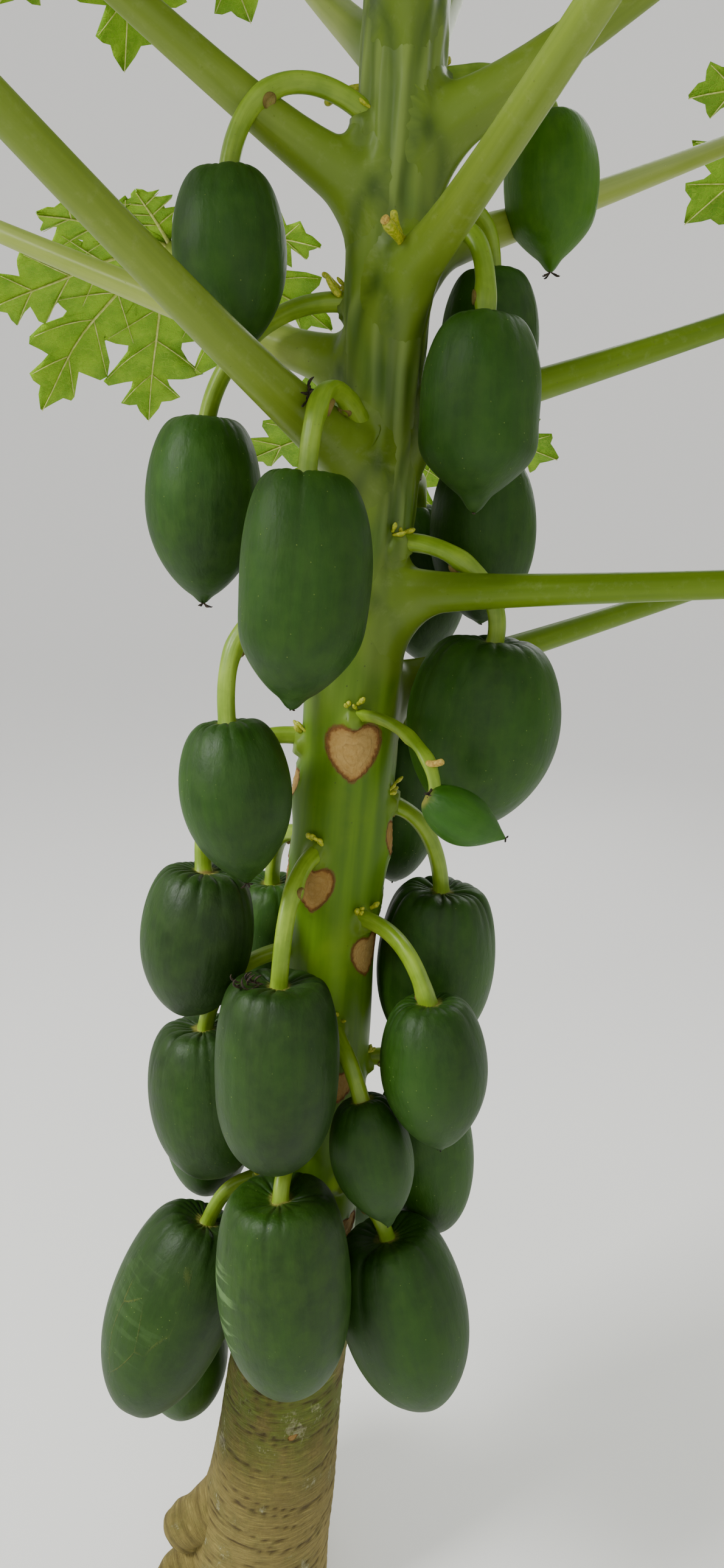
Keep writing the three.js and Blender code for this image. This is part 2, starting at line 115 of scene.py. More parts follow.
# %% The leaves, from the lowest up
# height and turn on the stem, rise of the stalk in degrees, its length, blade reach, hang, stoutness
LEAVES = [
    (1.201, 118, 11, 0.780, 0.330, 34, 1), (1.302, 62, 5, 0.780, 0.330, 36, 1),
    (1.345, 176, 12, 0.800, 0.330, 34, 1), (1.430, -43, 36, 0.830, 0.340, 26, 1.2),
    (1.463, 110, 17, 0.820, 0.335, 32, 1), (1.490, -158, 18, 0.820, 0.340, 30, 1),
    (1.510, -117, 21, 0.820, 0.340, 36, 1), (1.582, 25, 29, 0.840, 0.345, 26, 1),
    (1.611, 130, 20, 0.820, 0.345, 38, 1), (1.658, -76, 38, 0.820, 0.345, 24, 1.08),
    (1.703, 75, 33, 0.820, 0.345, 26, 1.08), (1.770, -155, 37, 0.820, 0.340, 24, 1),
    (1.776, 158, 50, 0.800, 0.335, 20, 1), (1.800, -3, 47, 0.800, 0.335, 20, 1),
    (1.850, -62, 45, 0.790, 0.330, 18, 1), (1.880, -122, 50, 0.770, 0.325, 18, 1),
    (1.910, 50, 50, 0.750, 0.320, 16, 1), (1.950, 116, 50, 0.730, 0.310, 16, 1),
    (1.985, -34, 54, 0.690, 0.295, 12, 1), (2.020, -96, 57, 0.650, 0.280, 8, 1),
    (2.055, 176, 60, 0.610, 0.265, 4, 1), (2.085, 32, 62, 0.570, 0.245, 0, 1),
    (2.115, 95, 66, 0.500, 0.206, -14, 1), (2.145, -140, 71, 0.400, 0.190, -16, 1),
    (2.172, -60, 70, 0.380, 0.170, -14, 1), (2.198, 142, 73, 0.310, 0.140, -20, 1),
    (2.218, 0, 77, 0.230, 0.105, -30, 1),
]
ELBOW_REACH = 0.070
FULL_STALK = 0.850
LOBE_TURNS = [0, 37, 74, 113, 150]
LOBE_REACH = [1, 0.97, 0.86, 0.68, 0.44]
DROOP = 0.3

# %% The fruit, from the top down
# reach, turn and height of the stalk's end; length, girth; tilt and its turn; height, turn and arch of the
# stalk's root; fullness
FRUIT = [
    ((0.165, 120, 1.736), 0.130, 0.090, 5, 20, (1.742, 112, 0.026), 0.6),
    ((0.155, -71, 1.659), 0.145, 0.099, 5, 15, (1.701, -62, 0), 0.58),
    ((0.105, 112, 1.595), 0.130, 0.093, 2, -30, (1.640, 112, 0.018), 0.56),
    ((0.104, 54, 1.543), 0.154, 0.105, 6, -20, (1.608, 62, 0.022), 0.55),
    ((0.118, 178, 1.545), 0.140, 0.092, 3, 178, (1.580, 178, 0.012), 0.56),
    ((0.168, -96, 1.461), 0.168, 0.114, 5, -30, (1.561, -104, 0), 0.56),
    ((0.124, 117, 1.424), 0.160, 0.108, 1, -15, (1.446, 128, 0.008), 0.52),
    ((0.138, -25, 1.411), 0.190, 0.114, 8, -35, (1.444, -28, 0), 0.5),
    ((0.159, 160, 1.373), 0.168, 0.106, 3, 90, (1.405, 146, 0.010), 0.55),
    ((0.138, 75, 1.256), 0.187, 0.150, 6, -66, (1.346, 46, 0), 0.55),
    ((0.120, -172, 1.262), 0.142, 0.096, 3, 180, (1.300, -172, 0.012), 0.56),
    ((0.140, -54, 1.187), 0.152, 0.107, 10, 35, (1.292, -60, 0.008), 0.57),
    ((0.108, 146, 1.140), 0.182, 0.102, 3, -120, (1.200, 140, 0.006), 0.52),
    ((0.180, 24, 1.141), 0.081, 0.050, 61, 90, (1.181, 7, 0), 0.8),
    ((0.144, -70, 1.024), 0.156, 0.117, 9, -58, (1.149, -79, 0), 0.5),
    ((0.116, 94, 0.979), 0.190, 0.129, 5, -60, (1.084, 87, 0), 0.47),
    ((0.114, -140, 0.956), 0.186, 0.106, 2, -140, (1.030, -138, 0.006), 0.5),
    ((0.130, -22, 0.931), 0.193, 0.126, 7, -15, (1.038, -30, 0), 0.42),
    ((0.152, 43, 0.908), 0.156, 0.109, 7, 38, (0.963, 41, 0), 0.57),
    ((0.132, -78, 0.833), 0.175, 0.128, 6, 20, (0.918, -86, 0), 0.48),
    ((0.115, 24, 0.793), 0.135, 0.086, 16, 50, (0.842, 12, 0.004), 0.64),
    ((0.122, -178, 0.792), 0.162, 0.104, 2, 180, (0.850, -176, 0.006), 0.52),
    ((0.118, 92, 0.740), 0.193, 0.110, 6, 90, (0.772, 98, 0.012), 0.48),
    ((0.145, -117, 0.739), 0.186, 0.111, 3, -90, (0.800, -124, 0.006), 0.48),
    ((0.134, -12, 0.692), 0.221, 0.140, 6, 20, (0.718, -14, 0.004), 0.42),
    ((0.122, 150, 0.636), 0.172, 0.112, 3, 150, (0.690, 146, 0.006), 0.5),
    ((0.125, 48, 0.606), 0.205, 0.140, 15, 64, (0.650, 40, 0.004), 0.46),
    ((0.116, -74, 0.585), 0.238, 0.146, 26, -58, (0.632, -78, 0.004), 0.5),
    ((0.152, -112, 0.402), 0.190, 0.116, 3, -112, (0.450, -122, 0.008), 0.48),
]
# fruit: the inner corners of its stalk's curve, each as reach, turn and height, where it takes its own way
BENDS = {
    2: ((0.083, -65, 1.752), (0.151, -71, 1.743)),
    6: ((0.099, -97, 1.585), (0.164, -96, 1.523)),
    8: ((0.101, -27, 1.509), (0.138, -25, 1.497)),
    10: ((0.076, 61, 1.366), (0.153, 76, 1.313)),
    14: ((0.118, 18, 1.209), (0.176, 28, 1.181)),
    15: ((0.113, -92, 1.180), (0.157, -87, 1.116)),
    16: ((0.086, 93, 1.087), (0.110, 94, 1.024)),
    18: ((0.094, -31, 1.054), (0.126, -23, 1.002)),
    19: ((0.102, 38, 0.985), (0.140, 37, 0.958)),
    20: ((0.101, -81, 0.922), (0.132, -78, 0.875)),
}
FRUIT_SHOULDER = 0.85
CROWN_DIP = 0.045
FRUIT_STALK_RADIUS = 0.0085
FULL_GIRTH = 0.080  # a fruit thinner than this hangs on a thinner stalk
print(len(LEAVES), "leaves and", len(FRUIT), "fruit")

# %% [markdown]
# ## Helpers for shapes
# Every surface below is either a tube, whose rings are carried along a path, or a sheet on a grid.
# Both are worked out as whole arrays, and a small collector turns them into one Blender mesh. It also
# keeps values for each point, which the materials read as attributes.

# %% Directions and the stem's own curve
UP = np.array([0.0, 0.0, 1.0])


def outward(turn):
    """The level direction that a turn names: (sin, -cos, 0)."""
    a = np.radians(turn)
    return np.stack([np.sin(a), -np.cos(a), np.zeros_like(a)], -1)


def unit(v):
    """The vector divided by its own length."""
    return v / np.linalg.norm(v, axis=-1, keepdims=True)


def wrap(turn):
    """The same turn between -180 and 180."""
    return (turn + 180) % 360 - 180


def ease(low, high, x):
    """0 below low, 1 above high, and 3 t^2 - 2 t^3 between them."""
    t = np.clip((x - low) / (high - low), 0, 1)
    return t * t * (3 - 2 * t)


def hump(x):
    """A soft bump of height 1 at x = 0: e to the power of minus x squared."""
    return np.exp(-x * x)


def between(height, column):
    """A smooth value between the stem's stations: a cubic in each gap, whose slope at a station is that
    of the line from the station below it to the one above."""
    z, v = TRUNK[:, 0], TRUNK[:, column]
    last = len(z) - 1
    k = np.arange(last + 1)
    below, above = np.maximum(k - 1, 0), np.minimum(k + 1, last)
    slope = (v[above] - v[below]) / (z[above] - z[below])
    i = np.clip(np.searchsorted(z, height) - 1, 0, last - 1)
    gap = z[i + 1] - z[i]
    t = np.clip((height - z[i]) / gap, 0, 1)
    rise = gap * (slope[i] * (t**3 - 2 * t**2 + t) + slope[i + 1] * (t**3 - t**2))
    return v[i] * (2 * t**3 - 3 * t**2 + 1) + v[i + 1] * (3 * t**2 - 2 * t**3) + rise


def stem_axis(height):
    """The middle of the stem at a height."""
    return np.array([between(height, SIDE), 0.0, height])


def beside_stem(reach, turn, height):
    """A place told by its distance from the stem's middle, its turn and its height."""
    return stem_axis(height) + outward(turn) * reach


print("stem at a height of 1 m: sideways", round(float(between(1.0, SIDE)), 3),
      "radius", round(float(between(1.0, RADIUS)), 4))


# %% Paths and rings
def bezier(corners, shares):
    """Points and directions at even shares of the length of a cubic curve through four corners:
    (1-t)^3 a + 3 (1-t)^2 t b + 3 (1-t) t^2 c + t^3 d. A table of lengths turns each share into its t."""
    a, b, c, d = corners

    def place(t):
        """The curve's points at the values t."""
        t = t[:, None]
        return (1 - t) ** 3 * a + 3 * (1 - t) ** 2 * t * b + 3 * (1 - t) * t**2 * c + t**3 * d

    table = np.linspace(0, 1, 241)
    steps = np.linalg.norm(np.diff(place(table), axis=0), axis=1)
    length = np.concatenate([[0], np.cumsum(steps)])
    t = np.interp(np.asarray(shares) * length[-1], length, table)
    s = t[:, None]
    way = (1 - s) ** 2 * (b - a) + 2 * (1 - s) * s * (c - b) + s**2 * (d - c)
    return place(t), unit(way), length[-1]


def carry(points, ways, side, width, height, count):
    """Rings along a path: point + across * width * cos + under * height * sin, with across the side
    vector made square to the path, and under square to both: downward where the side vector lies to the
    right of a level path. It also gives the rings laid out straight, as the skin's pattern coordinates."""
    across = unit(side - ways * (ways @ side)[:, None])
    under = np.cross(across, ways)
    angle = np.arange(count) * 2 * pi / count
    x, y = width * np.cos(angle), height * np.sin(angle)
    rings = points[:, None] + across[:, None] * x[..., None] + under[:, None] * y[..., None]
    run = np.concatenate([[0], np.cumsum(np.linalg.norm(np.diff(points, axis=0), axis=1))])
    straight = np.stack([x, y, np.broadcast_to(run[:, None], x.shape)], -1)
    return rings, straight


def closed(rings):
    """The points and faces of a tube: a quad between each two neighbours on two rings, and a fan of
    triangles to a pole in the middle of each end. They are turned over if they enclose less than 0."""
    rows, count, _ = rings.shape
    i, j = np.meshgrid(np.arange(rows - 1), np.arange(count), indexing="ij")
    k = (j + 1) % count
    here, ahead = i * count, (i + 1) * count
    quads = np.stack([here + j, here + k, ahead + k, ahead + j], -1).reshape(-1, 4)
    j = np.arange(count)
    k = (j + 1) % count
    top = (rows - 1) * count
    low = np.stack([np.full(count, rows * count), k, j], -1)
    high = np.stack([np.full(count, rows * count + 1), top + j, top + k], -1)
    points = np.concatenate([rings.reshape(-1, 3), [rings[0].mean(0), rings[-1].mean(0)]])
    p = points - points.mean(0)
    faces = [quads, low, high]
    volume = 0
    for f in faces:
        for n in range(1, f.shape[1] - 1):
            volume += np.sum(p[f[:, 0]] * np.cross(p[f[:, n]], p[f[:, n + 1]]))
    return points, faces if volume > 0 else [f[:, ::-1] for f in faces]


def with_poles(values):
    """Values of a tube's points with the two poles' own added: the mean of each end ring."""
    flat = values.reshape(-1, *values.shape[2:])
    return np.concatenate([flat, [values[0].mean(0), values[-1].mean(0)]])


quarter = np.array([(1, 0, 0), (1, 0.5523, 0), (0.5523, 1, 0), (0, 1, 0)])
print("length of a quarter circle, drawn by bezier:", round(float(bezier(quarter, [0, 1])[2]), 4))


# %% One mesh from many surfaces
class Skin:
    """Collects surfaces with their values, and makes them one mesh object that rides on the frame."""

    def __init__(self):
        self.points, self.faces, self.finish, self.values, self.count = [], [], [], [], 0

    def add(self, points, faces, finish=0, **values):
        """Keeps a surface. finish is the number of its material, and each value is a point attribute."""
        self.points.append(points)
        self.values.append(values)
        for block in faces:
            self.faces.extend((block + self.count).tolist())
            self.finish.extend([finish] * len(block))
        self.count += len(points)

    def add_tube(self, rings, finish=0, **values):
        """Keeps a closed tube, whose values lie on its rings."""
        points, faces = closed(rings)
        self.add(points, faces, finish, **{name: with_poles(v) for name, v in values.items()})

    def build(self, name, finishes, slot, nodes=()):
        """The finished object: smooth-shaded, with its attributes, materials, body and nodes. slot is not
        used.
        """
        mesh = bpy.data.meshes.new(name)
        mesh.from_pydata(np.concatenate(self.points), [], self.faces)
        mesh.polygons.foreach_set("material_index", self.finish)
        for key in sorted({key for values in self.values for key in values}):
            known = next(values[key] for values in self.values if key in values)
            blank = np.zeros(known.shape[1:])
            parts = [
                values.get(key, np.broadcast_to(blank, (len(points), *blank.shape)))
                for values, points in zip(self.values, self.points)
            ]
            kind, field = ("FLOAT_VECTOR", "vector") if known.ndim == 2 else ("FLOAT", "value")
            data = mesh.attributes.new(key, kind, "POINT").data
            data.foreach_set(field, np.concatenate(parts).astype(np.float32).ravel())
        for finish in finishes:
            mesh.materials.append(finish)
        mesh.shade_smooth()
        piece = bpy.data.objects.new(name, mesh)
        bpy.context.scene.collection.objects.link(piece)
        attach(piece, "root")
        if nodes:
            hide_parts(*nodes)
        print(name, "has", sum(len(f) - 2 for f in self.faces), "triangles")
        return piece


# %% [markdown]
# ## Helpers for finishes
# A material is a small programme on the surface. Written as sums and products it stays readable, so
# a class lets a socket take part in Python arithmetic, and each operator adds its Math node.

# %% Shader arithmetic
class Value:
    """A number that changes over a surface. Its operators add Math nodes to the material."""

    def __init__(self, paint, socket):
        self.paint, self.socket = paint, socket

    def math(self, operation, first, second):
        """One Math node on two numbers, of which at least one is a Value."""
        return self.paint.node("Math", {0: first, 1: second}, operation=operation)

    def __add__(self, other):
        return self.math("ADD", self, other)

    def __sub__(self, other):
        return self.math("SUBTRACT", self, other)

    def __rsub__(self, other):
        return self.math("SUBTRACT", other, self)

    def __mul__(self, other):
        return self.math("MULTIPLY", self, other)

    __radd__, __rmul__ = __add__, __mul__


class Paint:
    def __init__(self, name):
        self.material = bpy.data.materials.new(name)
        self.material.use_nodes = True
        self.tree = self.material.node_tree
        self.tree.nodes.clear()

    def node(self, kind, sockets=(), output=0, **settings):
        """Adds a node of a kind, applies its settings, then sets or links its sockets by name or number."""
        node = self.tree.nodes.new("ShaderNode" + kind)
        for key, value in settings.items():
            setattr(node, key, value)
        for key, value in dict(sockets).items():
            if isinstance(value, Value):
                self.tree.links.new(value.socket, node.inputs[key])
            else:
                node.inputs[key].default_value = value
        return None if output is None else Value(self, node.outputs[output])

    def place(self):
        """The point's own place in metres."""
        return self.node("TexCoord", output="Object")

    def grain(self):
        """The point's place on the piece laid out straight."""
        return self.node("Attribute", output="Vector", attribute_name="grain")

    def mark(self, name):
        """A number that the shape code gave to each point."""
        return self.node("Attribute", output="Fac", attribute_name=name)

    def stretch(self, vector, x, y, z):
        """The place multiplied along each axis: a factor below 1 draws a pattern out along it."""
        return self.node("Mapping", {"Vector": vector, "Scale": (x, y, z)})

    def noise(self, vector, scale, detail=3, rough=0.55, bend=0):
        """Cloudy noise between 0 and 1, with scale spots to the metre."""
        sockets = {"Vector": vector, "Scale": scale, "Detail": detail}
        return self.node("TexNoise", {**sockets, "Roughness": rough, "Distortion": bend})

    def cells(self, vector, scale, feature="F1"):
        """The distance to the nearest strewn point, or to the cell's edge, with scale cells to the metre."""
        return self.node("TexVoronoi", {"Vector": vector, "Scale": scale}, output="Distance", feature=feature)

    def ease(self, value, low, high):
        """0 below low and 1 above high, with a soft change between."""
        sockets = {"Value": value, "From Min": low, "From Max": high}
        return self.node("MapRange", sockets, interpolation_type="SMOOTHSTEP")

    def mix(self, share, first, second):
        """A colour that goes from the first to the second."""
        return self.node("Mix", {0: share, 6: first, 7: second}, output=2, data_type="RGBA")

    def bump(self, height, distance):
        """A normal that follows a height. distance is what a height of 1 stands for, in metres."""
        return self.node("Bump", {"Height": height, "Distance": distance}, output="Normal")

    def finish(self, color, roughness, normal=None, **more):
        """The surface shader and the output."""
        sockets = {"Base Color": color, "Roughness": roughness}
        if normal is not None:
            sockets["Normal"] = normal
        sockets.update({key.replace("_", " "): value for key, value in more.items()})
        shader = self.node("BsdfPrincipled", sockets)
        self.node("OutputMaterial", {"Surface": shader}, output=None)
        return self.material


def tint(red, green, blue):
    """A screen colour of 0 to 255 as the linear colour that shaders take."""
    c = np.array([red, green, blue]) / 255
    linear = np.where(c <= 0.04045, c / 12.92, ((c + 0.055) / 1.055) ** 2.4)
    return (*linear.tolist(), 1.0)


SATIN = 0.3  # the specular level of bark, stalks and blades: a waxy skin with little shine
print("a middle green in linear colour:", [round(v, 3) for v in tint(96, 134, 4)])


# %% [markdown]
# ## The stem
# The stem is a green trunk rather than a woody one. Its foot is grey-brown and ringed, its middle is
# smooth and bright green with the corky hearts that fallen leaves leave behind, and its top is pale
# and fluted, because each leaf's base runs down it as a set of ridges. One grid of rings carries all
# of this as relief: each feature is a soft bump in turn and height, added to the radius.

# %% Where the leaf scars are
# height, turn, half width and half height of the scars that show
SCARS = [
    (1.146, 8, 0.0275, 0.0305), (1.001, -27, 0.021, 0.025), (0.921, 51, 0.022, 0.024),
    (0.771, 28, 0.020, 0.020), (0.576, 58, 0.019, 0.017), (0.651, -35, 0.012, 0.010),
    (1.045, 82, 0.018, 0.022), (1.105, -86, 0.016, 0.018), (1.005, -92, 0.018, 0.020),
    (0.400, 37, 0.007, 0.006), (0.314, 12, 0.006, 0.005),
]
BULGING = slice(6, 9)  # the scars that are seen from the side stand out
SPIRAL_TURN = 137.5
SPIRAL_RISE = 0.062
FIRST_SCAR = (1.150, 165)


def all_scars():
    """The named scars, and behind the stem one more at each step of the leaf spiral."""
    scars = list(SCARS)
    for k in range(16):
        height, turn = FIRST_SCAR[0] - k * SPIRAL_RISE, wrap(FIRST_SCAR[1] - k * SPIRAL_TURN)
        if abs(turn) > 100:
            size = 0.021 - 0.0004 * k
            scars.append((height, turn, size, size * 0.95))
    return scars


print("leaf scars:", len(SCARS), "that show, of", len(all_scars()))


# %% Sizes of the stalks
STALK_TIP, STALK_TAPER, STALK_BASE, STALK_FLARE = 0.0085, 0.009, 0.009, 1.45
SEAT_ABOVE, SEAT_BELOW = 0.014, 0.048  # radii of the smooth corner between a leaf stalk and the stem
RIB_HEIGHT, RIB_WIDTH, RIB_LENGTH, RIB_STEM = 0.008, 32, 0.150, 0.038  # the swelling below a leaf base
FRUIT_SEAT = 0.008
ARCH_TURN, ARCH_HALF, ARCH_BOW = 43, 30, 0.022  # an arch beside a base: its turn, half width and bow


def leaf_scale(stalk):
    """Thinness of a young leaf's stalk: the root of its share of a full stalk's length."""
    return np.sqrt(min(1, stalk / FULL_STALK))


def stalk_half(leaf, t):
    """Half the width of a leaf stalk at a share t of its length: a clasping base and an even taper."""
    _, _, _, stalk, _, _, stout = leaf
    half = STALK_TIP + STALK_TAPER * (1 - t) ** 1.5 + STALK_BASE * np.exp(-16 * t)
    return half * leaf_scale(stalk) * stout


def fillet(away, reach):
    """How far a smooth corner stands off one wall at a distance from the other:
    r - sqrt(r^2 - (r - d)^2), which is r in the corner itself and 0 from d = r on."""
    gap = np.clip(reach - away, 0, reach)
    return reach - np.sqrt(np.maximum(reach**2 - gap**2, 0))


def seat_reach(below, rise):
    """The corner's radius round a leaf stalk: small above it, large in the armpit below it, and there
    the smaller, the steeper the stalk rises."""
    low = SEAT_BELOW * (1 - 0.72 * sin(radians(rise)))
    return SEAT_ABOVE + (low - SEAT_ABOVE) * (0.5 + 0.5 * below) ** 2


print("leaf stalks are", round(2 * float(stalk_half(LEAVES[0], 0)), 3), "m wide at the stem and",
      round(2 * float(stalk_half(LEAVES[0], 1)), 3), "m at the blade")


# %% Relief of the stem
def ripple(turn, height, waves, seed):
    """A sum of waves round and along the stem. Each wave is (count round the stem, waves to the metre of
    height, size), so it closes on itself, and its start is drawn from the seed."""
    starts = np.random.default_rng(seed).uniform(0, 2 * pi, len(waves))
    return sum(
        size * np.cos(np.radians(turn) * around + 2 * pi * along * height + start)
        for (around, along, size), start in zip(waves, starts)
    )


def seats(height, turn):
    """How far the stem's skin rises round each fruit stalk, and how near it is to any stalk. away is the
    distance from a leaf stalk's oval outline, on the stem's skin rolled flat: sqrt(x^2 + y^2) (1 - 1/q),
    with q = sqrt((x/a)^2 + (y/b)^2)."""
    girth = np.radians(1) * between(height, RADIUS)
    push, near = 0, 0
    for leaf in LEAVES:
        leaf_height, leaf_turn, rise, stalk, *_ = leaf
        x, y = wrap(turn - leaf_turn) * girth, height - leaf_height
        far = np.hypot(x, y) + 1e-6
        half = stalk_half(leaf, 0.03)
        q = np.hypot(x / half, y / (half * np.where(y > 0, 1.25, 1.45))) + 1e-6
        away = far * (1 - 1 / q)
        reach = seat_reach(-y / far, rise) * leaf_scale(stalk)
        near = np.maximum(near, 1 - ease(reach * 0.9, reach + 0.020, away))
    for fruit in FRUIT:
        root_height, root_turn, _ = fruit[5]
        x, y = wrap(turn - root_turn) * girth, height - root_height
        away = np.hypot(x, y) - 0.011 * min(1, fruit[2] / FULL_GIRTH)
        push = np.maximum(push, fillet(away, FRUIT_SEAT))
        near = np.maximum(near, 0.8 * (1 - ease(-0.2, 1.5, away / FRUIT_SEAT)))
    return push, near


def ribs(height, turn):
    """The swelling of the stem below each leaf base, as in the solids: it stands out most at the base and
    fades down the stem and to both sides, each by e to the power of minus a square."""
    swell = 0
    for leaf_height, leaf_turn, *_ in LEAVES:
        down = (leaf_height - height) / RIB_LENGTH
        along = np.where(down < 0, hump(down * 5), hump(down))
        swell = np.maximum(swell, RIB_HEIGHT * along * hump(wrap(turn - leaf_turn) / RIB_WIDTH))
    return swell * between(height, RADIUS) / RIB_STEM


def flutes(height, turn):
    """The arches beside each leaf base. A groove runs up each side of a flat panel, and the two close over
    it in an arch by the base's lower corner: |x| = half width * (1 - e^-(depth / bow)). A pale margin
    follows each groove on its outer side. dark is painted shade: a band along each arch below the base,
    and a painted shadow right under the leaf stalk."""
    ridge, groove, dark = 0, 0, 0
    for leaf_height, leaf_turn, _, stalk, *_ in LEAVES:
        scale = leaf_scale(stalk)
        down = leaf_height - height
        along = ease(0.0, 0.03, down) * (1 - ease(0.12, 0.28, down)) * scale
        # painted shade: a band along each arch, below the leaf base
        shade = ease(-0.002, 0.010, down) * (1 - ease(0.03, 0.15, down)) * scale
        for side in (-1, 1):
            across = np.abs(wrap(turn - leaf_turn - side * ARCH_TURN + 3 * np.sin(30 * height + leaf_turn)))
            arm = across - ARCH_HALF * (1 - np.exp(-np.clip(down, 0, None) / ARCH_BOW))
            groove = np.maximum(groove, along * hump(arm / 8))
            ridge = np.maximum(ridge, along * hump((arm - 15) / 6))
            # painted shadow: a dark patch right under the leaf stalk, where it shades the stem
            shadow_under_base = hump((down - 0.006) / 0.013) * hump(across / 14) * scale
            dark = np.maximum(dark, np.maximum(shadow_under_base, 0.75 * shade * hump(arm / 9)))
    return ridge, groove, dark


def scar_marks(height, turn):
    """How far out a place lies from the nearest leaf scar's middle: 1 on its rim. In the scar's own measure,
    x across and y up, that is the root of x^2 + (y - 0.65 (x^2)^(1/3))^2, which gives the scar a notch
    above, round flanks and a point below."""
    nearest = 3
    for scar_height, scar_turn, half_width, half_height in all_scars():
        x = np.radians(wrap(turn - scar_turn)) * between(height, RADIUS) / half_width
        y = 1.14 * (height - scar_height) / half_height + 0.14
        nearest = np.minimum(nearest, np.sqrt(x * x + (y - 0.65 * (x * x + 0.01) ** (1 / 3)) ** 2))
    return nearest


def bark_rings(height, turn):
    """Broken ring lines of the old bark. They lie square to the leaning stem, so a ring is where
    height + lean * radius * sin(turn) stays the same. Each ripples and breaks off here and there."""
    lean = 0.16  # sideways metres to a metre of height at the foot
    level = height + lean * between(height, RADIUS) * np.sin(np.radians(turn))
    groove = 0
    for spacing, seed in ((0.0170, 3), (0.0115, 4)):
        wander = ripple(turn, height, [(1, 3, 0.30), (3, 7, 0.16), (7, 19, 0.10), (11, 37, 0.06)], seed)
        phase = level / spacing + wander
        broken = ripple(turn, height, [(1, 19, 0.6), (3, 37, 0.5), (5, 61, 0.4), (11, 90, 0.3)], seed + 7)
        line = hump((np.abs(phase % 1 - 0.5)) / 0.080)
        groove = np.maximum(groove, line * ease(-0.05, 0.60, broken))
    return groove * (1 - ease(0.42, 0.60, height))


print("the ribs stand out by up to", round(float(ribs(1.40, np.arange(0, 360, 5.0)).max()), 4), "m")


# %% The stem's surface
# the heights between which the corky foot turns green, and the green skin turns waxy and fluted
CORKY = (0.38, 0.62)
WAXY = (1.12, 1.40)
STEM_COLUMNS = 200
# from, to, count of rings: close together over the ringed bark and where the big leaf stalks sit
STEM_ROWS = [(0, 0.52, 150), (0.52, 1.20, 135), (1.20, 1.80, 145), (1.80, 2.20, 36)]


def stem_heights():
    """Ring heights, which round over at the tip by a sine."""
    rows = [np.linspace(low, high, count, endpoint=False) for low, high, count in STEM_ROWS]
    tip = TRUNK[-1, 0] + TIP_LENGTH * np.sin(np.linspace(0, pi / 2, 8)) * 0.995
    return np.concatenate([*rows, tip])


height = stem_heights()[:, None]
turn = (np.arange(STEM_COLUMNS) * 360 / STEM_COLUMNS)[None, :]
scar = scar_marks(height, turn)
heart, heart_rim = 1 - ease(0.92, 1.02, scar), hump((scar - 1.02) / 0.10)
ridge, valley, dark = flutes(height, turn)
push, seat = seats(height, turn)
groove = bark_rings(height, turn)
young = ease(*WAXY, height)
old = 1 - ease(*CORKY, height)
swell = ribs(height, turn) + young * (0.0020 * ridge - 0.0020 * valley) * (1 - 0.7 * seat)
swell += young * ripple(turn, height, [(4, 1.3, 0.0010), (7, 2.1, 0.0009), (12, 1.1, 0.0005)], 1)
swell += (1 - young) * ripple(turn, height, [(2, 3, 0.0010), (3, 5, 0.0008), (5, 7, 0.0005)], 2)
swell += 0.0013 * heart_rim - 0.0008 * heart
swell += 0.0006 * heart * ripple(turn, height, [(31, 90, 0.5), (47, 60, 0.5), (23, 130, 0.5)], 5)
for scar_height, scar_turn, *_ in SCARS[BULGING]:
    swell += 0.006 * hump(wrap(turn - scar_turn) / 34) * hump((height - scar_height + 0.004) / 0.030)
swell += -0.0011 * groove + old * ripple(turn, height, [(17, 45, 0.00025), (29, 80, 0.0002)], 6)
cap = np.sqrt(np.clip(1 - (np.maximum(0, height - TRUNK[-1, 0]) / TIP_LENGTH) ** 2, 0.0001, 1))
radius = (between(height, RADIUS) + swell + push * ease(0, 0.05, height)) * cap
middle = np.concatenate([between(height, SIDE), 0 * height, height], -1)[:, None]
stem_rings = middle + outward(turn) * radius[..., None]
across = stem_rings[..., :2] - middle[..., :2]
straight = np.concatenate([across, np.broadcast_to(height[..., None], (*radius.shape, 1))], -1)
# dark is painted shade: under the leaf bases, along the arches and in the flute grooves
marks = {
    "scar": 3 - scar, "groove": groove, "seat": seat,
    "dark": np.maximum(0.8 * dark, 0.45 * valley) * young, "ridge": ridge * young, "grain": straight,
}


def stem_reach(level, facing):
    """The finished stem's radius at any height and turn: linear between its rings and its columns."""
    row = np.interp(level, height[:, 0], np.arange(len(height)))
    column = (facing % 360) * STEM_COLUMNS / 360
    low, left = np.minimum(row.astype(int), len(height) - 2), column.astype(int) % STEM_COLUMNS
    right = (left + 1) % STEM_COLUMNS
    up, over = row - low, column % 1
    below = radius[low, left] * (1 - over) + radius[low, right] * over
    above = radius[low + 1, left] * (1 - over) + radius[low + 1, right] * over
    return below * (1 - up) + above * up


print("stem rings:", len(stem_rings), "of", STEM_COLUMNS, "points, widest", round(2 * float(radius.max()), 3))

# %% [markdown]
# Two stubby roots stand out of the flare on the left and one behind. Each is a short limb that is
# widest where it leaves the stem and ends in a blunt knuckle.

